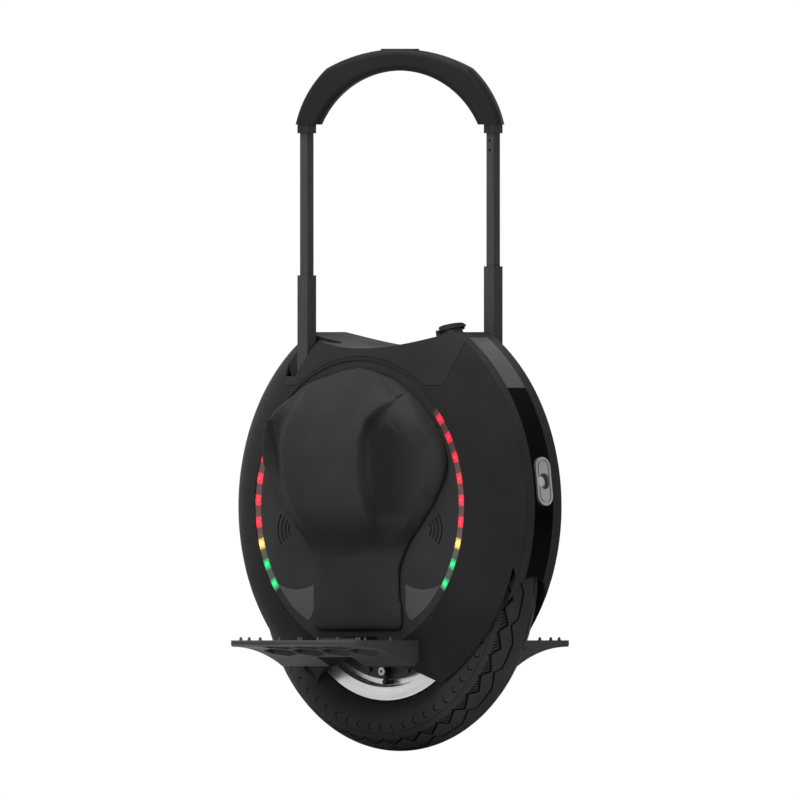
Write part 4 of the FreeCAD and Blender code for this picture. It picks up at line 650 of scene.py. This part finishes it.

# %% [markdown]
# The slits of the combs and the ticks of the sidewall are lines in the map of blade and lean. A group turns
# them into a mask, which presses the bump in and darkens the rubber; a second mask covers the floors of
# the grooves, which are darkened with painted shade.

# %% Tyre finish
SLITS_PER_COMB = 7.0
SLIT_SLANT = -0.016
TICKS_PER_BLADE = 3.0
MOULD_LINE = 68.0
cuts_group, taken, given = open_group("tread_cuts", {}, {"Cut": VALUE, "Groove": VALUE})
tread_map = put(cuts_group, "ShaderNodeUVMap", {"uv_map": "tread_map"}).outputs[0]
spot = put(cuts_group, "ShaderNodeSeparateXYZ", in0=tread_map)
lean = sum_of(cuts_group, "MULTIPLY", spot.outputs["Y"], 100.0)
blade = sum_of(cuts_group, "FRACT", spot.outputs["X"])
comb = sum_of(cuts_group, "FRACT", sum_of(cuts_group, "MULTIPLY", spot.outputs["X"], 2.0))


def line_mask(position, middle, half_width):
    """1 on a line, 0 a half width away from it."""
    gap = sum_of(cuts_group, "ABSOLUTE", sum_of(cuts_group, "SUBTRACT", position, middle))
    return spread(cuts_group, gap, half_width * 0.4, half_width, 1.0, 0.0)


def between(position, low, high, soft):
    """1 between two values, with soft ends."""
    rising = spread(cuts_group, position, low, low + soft)
    falling = spread(cuts_group, position, high - soft, high, 1.0, 0.0)
    return sum_of(cuts_group, "MULTIPLY", rising, falling)


def edge_of(place, lines, pick):
    """The highest or lowest of some straight lines at a place, as in groove_depth."""
    edge = None
    for slope, start in lines:
        line = sum_of(cuts_group, "MULTIPLY_ADD", place, slope, start)
        edge = line if edge is None else sum_of(cuts_group, pick, edge, line)
    return edge


comb_edge = edge_of(comb, COMB_LINES, "MINIMUM")
blade_edge = edge_of(blade, BLADE_LINES, "MAXIMUM")
spur = line_mask(lean, edge_of(comb, COMB_LINES[:1], "MINIMUM"), GROOVE_HALF_WIDTH)
spur = sum_of(cuts_group, "MULTIPLY", spur, between(lean, 36.0, SPUR_END, 1.0))
grooves = sum_of(cuts_group, "MAXIMUM", line_mask(lean, comb_edge, GROOVE_HALF_WIDTH),
                 line_mask(lean, blade_edge, GROOVE_HALF_WIDTH))
cuts_group.links.new(sum_of(cuts_group, "MAXIMUM", grooves, spur), given.inputs["Groove"])

slant = sum_of(cuts_group, "MULTIPLY_ADD", lean, SLIT_SLANT, comb)
slit_place = sum_of(cuts_group, "FRACT", sum_of(cuts_group, "MULTIPLY", slant, SLITS_PER_COMB))
teeth = line_mask(slit_place, 0.5, 0.34)
inside = spread(cuts_group, sum_of(cuts_group, "SUBTRACT", lean, comb_edge), 1.0, 2.5)
inside = sum_of(cuts_group, "MULTIPLY", inside, spread(cuts_group, lean, 53.5, 55.0, 1.0, 0.0))
slits = sum_of(cuts_group, "MULTIPLY", teeth, inside)
bow = sum_of(cuts_group, "DIVIDE", sum_of(cuts_group, "SUBTRACT", lean, 82.0), 9.0)
tick_middle = sum_of(cuts_group, "MULTIPLY_ADD", sum_of(cuts_group, "POWER", bow, 2.0), -0.25, 0.65)
tick_place = sum_of(cuts_group, "FRACT", sum_of(cuts_group, "MULTIPLY", spot.outputs["X"], TICKS_PER_BLADE))
ticks = line_mask(tick_place, tick_middle, 0.08)
ticks = sum_of(cuts_group, "MULTIPLY", ticks, between(lean, 73.0, 91.0, 1.0))
mould_line = sum_of(cuts_group, "MULTIPLY", line_mask(lean, MOULD_LINE, 0.9), 0.7)
fine_cuts = sum_of(cuts_group, "MAXIMUM", sum_of(cuts_group, "MAXIMUM", slits, ticks), mould_line)
cuts_group.links.new(fine_cuts, given.inputs["Cut"])

finish, tree, surface = blank_finish("tyre_rubber")
cuts = put(tree, "ShaderNodeGroup", {"node_tree": cuts_group})
grain = put(tree, "ShaderNodeGroup", {"node_tree": grain_group})
grain.inputs["Scale"].default_value = 600.0
dark, light = two_tones(0.030, 0.16)
plain = mixed(tree, grain.outputs["Drift"], dark, light)
# Painted shade on the groove floors, mixed towards black together with the dark fine cuts.
sunk = sum_of(tree, "MAXIMUM", cuts.outputs["Cut"], sum_of(tree, "MULTIPLY", cuts.outputs["Groove"], 0.95))
colour = mixed(tree, sunk, plain, (0.002, 0.002, 0.002, 1))
tree.links.new(colour, surface.inputs["Base Color"])
tree.links.new(spread(tree, grain.outputs["Drift"], 0.0, 1.0, 0.62, 0.52), surface.inputs["Roughness"])
pitted = sum_of(tree, "MULTIPLY", grain.outputs["Grain"], 0.15)
face_height = sum_of(tree, "SUBTRACT", pitted, cuts.outputs["Cut"])
bump = put(tree, "ShaderNodeBump", Strength=0.8, Distance=0.0006, Height=face_height)
tree.links.new(bump.outputs[0], surface.inputs["Normal"])
surface.inputs["Specular IOR Level"].default_value = 0.06
tyre.data.materials.append(finish)
print("tyre finished")

# %% [markdown]
# ## Leg pads
# Each pad is thick foam in a skin: it bulges and its edges are round. In front of the raised part, which
# the calf leans on, a crease drops into a dish; behind that part lies a shallow valley. A short cloth
# simulation with air pressure swells a voxel copy of the solid, with the back held where it is glued to the
# side cover. How far a point may move is capped, so the pad keeps its outline. Crease, dish and valley are
# pressed in afterwards, because the voxels would have rounded them off, and the slope below the valley is
# filled a little.

# %% Pad shape
COVER_FACE = 0.0575
VOXEL = 0.0032
EVEN_ROUNDS = 8
START_INSET = 0.0006
PRESSED_FROM = 0.010
PRESSED_FULLY = 0.016
SWELL_CAP = 0.004
SWELL_PRESSURE = 4.0
GLUED_DEPTH = 0.004
SWELL_FRAMES = 20
CREASE_LINE = [(0.066, 0.352), (0.053, 0.344), (0.043, 0.332), (0.0365, 0.312), (0.0352, 0.291),
               (0.0355, 0.271), (0.038, 0.251), (0.041, 0.231), (0.043, 0.212), (0.044, 0.196)]
CREASE_DEPTHS = [0.003, 0.007, 0.009, 0.009, 0.0085, 0.008, 0.007, 0.005, 0.002, 0.0]
VALLEY_LINE = [(-0.084, 0.348), (-0.096, 0.334), (-0.103, 0.318), (-0.106, 0.302), (-0.103, 0.286),
               (-0.096, 0.268)]
VALLEY_DEPTHS = [0.0, 0.004, 0.007, 0.007, 0.004, 0.0]
FILL_LINE = [(-0.076, 0.338), (-0.081, 0.312), (-0.084, 0.286), (-0.084, 0.262), (-0.076, 0.239),
             (-0.062, 0.215)]
FILL_HEIGHTS = [0.0, 0.003, 0.0045, 0.006, 0.006, 0.0]
FILL_WIDTH = 0.012
WALL_WIDTH = 0.005
DISH_WIDTH = 0.022
VALLEY_WIDTH = 0.010


print("crease, m:", CREASE_LINE[0], "to", CREASE_LINE[-1])

# %% [markdown]
# The swelling runs for some frames, and the mesh that it ends with is read back. Each point's move is then
# capped.

# %% Pad swelling
def settled_mesh(piece):
    """The piece's mesh with its modifiers worked in."""
    graph = bpy.context.evaluated_depsgraph_get()
    return bpy.data.meshes.new_from_object(piece.evaluated_get(graph))


def swollen(piece):
    """Lets air pressure swell the piece for a few frames, with its glued back held."""
    held = piece.vertex_groups.new(name="glued")
    held.add([v.index for v in piece.data.vertices if abs(v.co.y) < COVER_FACE + GLUED_DEPTH], 1.0, "REPLACE")
    start = [v.co.copy() for v in piece.data.vertices]
    cloth = piece.modifiers.new("swell", "CLOTH")
    cloth.settings.use_pressure = True
    cloth.settings.uniform_pressure_force = SWELL_PRESSURE
    cloth.settings.effector_weights.gravity = 0.0
    cloth.settings.vertex_group_mass = "glued"
    for step in range(1, SWELL_FRAMES + 1):
        scene.frame_set(step)
    grown = settled_mesh(piece)
    piece.modifiers.clear()
    scene.frame_set(1)
    for vertex, before, after in zip(piece.data.vertices, start, grown.vertices):
        move = after.co - before
        if move.length > SWELL_CAP:
            move *= SWELL_CAP / move.length
        vertex.co = before + move


print("frames of swelling:", SWELL_FRAMES)

# %% [markdown]
# The lines of crease, valley and fill are drawn on the pad's face as points with depths. A place is pressed
# by how near it lies to a line, and the crease only presses the side in front of it.

# %% Pad pressing
def beside(line, depths, x, z):
    """Distance to a line drawn on the pad, whether the place is in front of it, and the depth there."""
    best = None
    for (x0, z0), (x1, z1), d0, d1 in zip(line, line[1:], depths, depths[1:]):
        run_x, run_z = x1 - x0, z1 - z0
        share = ((x - x0) * run_x + (z - z0) * run_z) / (run_x ** 2 + run_z ** 2)
        share = min(max(share, 0.0), 1.0)
        off_x, off_z = x - x0 - share * run_x, z - z0 - share * run_z
        gap = math.hypot(off_x, off_z)
        if best is None or gap < best[0]:
            best = (gap, off_x * -run_z + off_z * run_x > 0, d0 + share * (d1 - d0))
    return best


def sunk_at(x, z):
    """How far the face is pressed in by the dish and the valley, less what the slope is filled."""
    gap, in_front, depth = beside(CREASE_LINE, CREASE_DEPTHS, x, z)
    dish = 0.0
    if in_front:
        step = min(gap / WALL_WIDTH, 1.0)
        dish = depth * step * step * (3 - 2 * step) * math.exp(-((gap / DISH_WIDTH) ** 2))
    gap, _, depth = beside(VALLEY_LINE, VALLEY_DEPTHS, x, z)
    valley = depth * math.exp(-((gap / VALLEY_WIDTH) ** 2))
    gap, _, rise = beside(FILL_LINE, FILL_HEIGHTS, x, z)
    return dish + valley - rise * math.exp(-((gap / FILL_WIDTH) ** 2))


print("pressed at the crease, m:", round(sunk_at(0.042, 0.30), 4))

# %% [markdown]
# Now each pad is made: voxels, smoothing, swelling, a finer mesh, the pressing, and one more round of
# smoothing. It rides on the chassis and takes the place of the plain solid.

# %% Pads
def puffed_pad(node, name):
    side = -1.0 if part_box(node)[0][1] < 0 else 1.0
    pad = bpy.data.objects.new(name, nodes[node].data.copy())
    pad.data.materials.clear()
    scene.collection.objects.link(pad)
    remesh = pad.modifiers.new("voxels", "REMESH")
    remesh.mode = "VOXEL"
    remesh.voxel_size = VOXEL
    even = pad.modifiers.new("even", "SMOOTH")
    even.iterations = EVEN_ROUNDS
    pad.data = settled_mesh(pad)
    pad.modifiers.clear()
    for vertex in pad.data.vertices:
        if abs(vertex.co.y) > COVER_FACE + GLUED_DEPTH:
            vertex.co -= vertex.normal * START_INSET
    swollen(pad)
    pad.modifiers.new("finer", "SUBSURF").levels = 1
    pad.data = settled_mesh(pad)
    pad.modifiers.clear()
    for vertex in pad.data.vertices:
        height = abs(vertex.co.y) - COVER_FACE
        if height > PRESSED_FROM:
            share = min((height - PRESSED_FROM) / (PRESSED_FULLY - PRESSED_FROM), 1.0)
            vertex.co.y -= side * share * sunk_at(vertex.co.x, vertex.co.z)
    for face in pad.data.polygons:
        face.use_smooth = True
    pad.modifiers.new("smooth", "SUBSURF").levels = 1
    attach(pad, "chassis")
    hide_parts(node)
    return pad


pads = [puffed_pad("leg_pad_right", "puffed_pad_right"), puffed_pad("leg_pad_left", "puffed_pad_left")]
print("pad vertices:", [len(pad.data.vertices) for pad in pads])

# %% [markdown]
# The skin is darkened with painted shade in the hollows and under the raised part. The finish does this by
# place: soft masks, made from the coordinates of the pad, mix the tone towards black. They paint in the deep
# shading that the lamps alone don't give.

# %% Pad finish
UNDER_HEIGHTS = (0.190, 0.212, 0.215, 0.250)
DISH_REACH = (0.036, 0.046, 0.056, 0.105)
DISH_HEIGHTS = (0.215, 0.245, 0.322, 0.345)
VALLEY_REACH = (-0.110, -0.100, -0.082, -0.070)
VALLEY_HEIGHTS = (0.265, 0.290, 0.330, 0.345)
PAINTED_SHADE_SHARE = 0.55

finish, tree, surface = blank_finish("pad_foam_skin")
folds = put(tree, "ShaderNodeGroup", {"node_tree": skin_group})
dark, light = two_tones(0.029, 0.10)
colour = mixed(tree, folds.outputs["Drift"], dark, light)
place = put(tree, "ShaderNodeSeparateXYZ", in0=put(tree, "ShaderNodeTexCoord").outputs["Object"])
along, height = place.outputs["X"], place.outputs["Z"]


def band(position, start, full, fade, end):
    """1 between full and fade, falling smoothly to 0 at start and end."""
    rising = spread(tree, position, start, full)
    return sum_of(tree, "MULTIPLY", rising, spread(tree, position, fade, end, 1.0, 0.0))


# Painted shade: below the raised part, in the dish and in the valley the tone goes towards black.
under = band(height, *UNDER_HEIGHTS)
in_dish = sum_of(tree, "MULTIPLY", band(along, *DISH_REACH), band(height, *DISH_HEIGHTS))
in_valley = sum_of(tree, "MULTIPLY", band(along, *VALLEY_REACH), band(height, *VALLEY_HEIGHTS))
painted_shade_mask = sum_of(tree, "MAXIMUM", sum_of(tree, "MAXIMUM", under, in_dish), in_valley)
painted_shade_colour = mixed(tree, sum_of(tree, "MULTIPLY", painted_shade_mask, PAINTED_SHADE_SHARE), colour, (0.004, 0.004, 0.004, 1))
tree.links.new(painted_shade_colour, surface.inputs["Base Color"])
tree.links.new(spread(tree, folds.outputs["Folds"], 0.0, 1.0, 0.68, 0.54), surface.inputs["Roughness"])
bump = put(tree, "ShaderNodeBump", Strength=0.35, Distance=0.00012, Height=folds.outputs["Folds"])
tree.links.new(bump.outputs[0], surface.inputs["Normal"])
surface.inputs["Specular IOR Level"].default_value = 0.03
for pad in pads:
    pad.data.materials.append(finish)
print("pads finished")
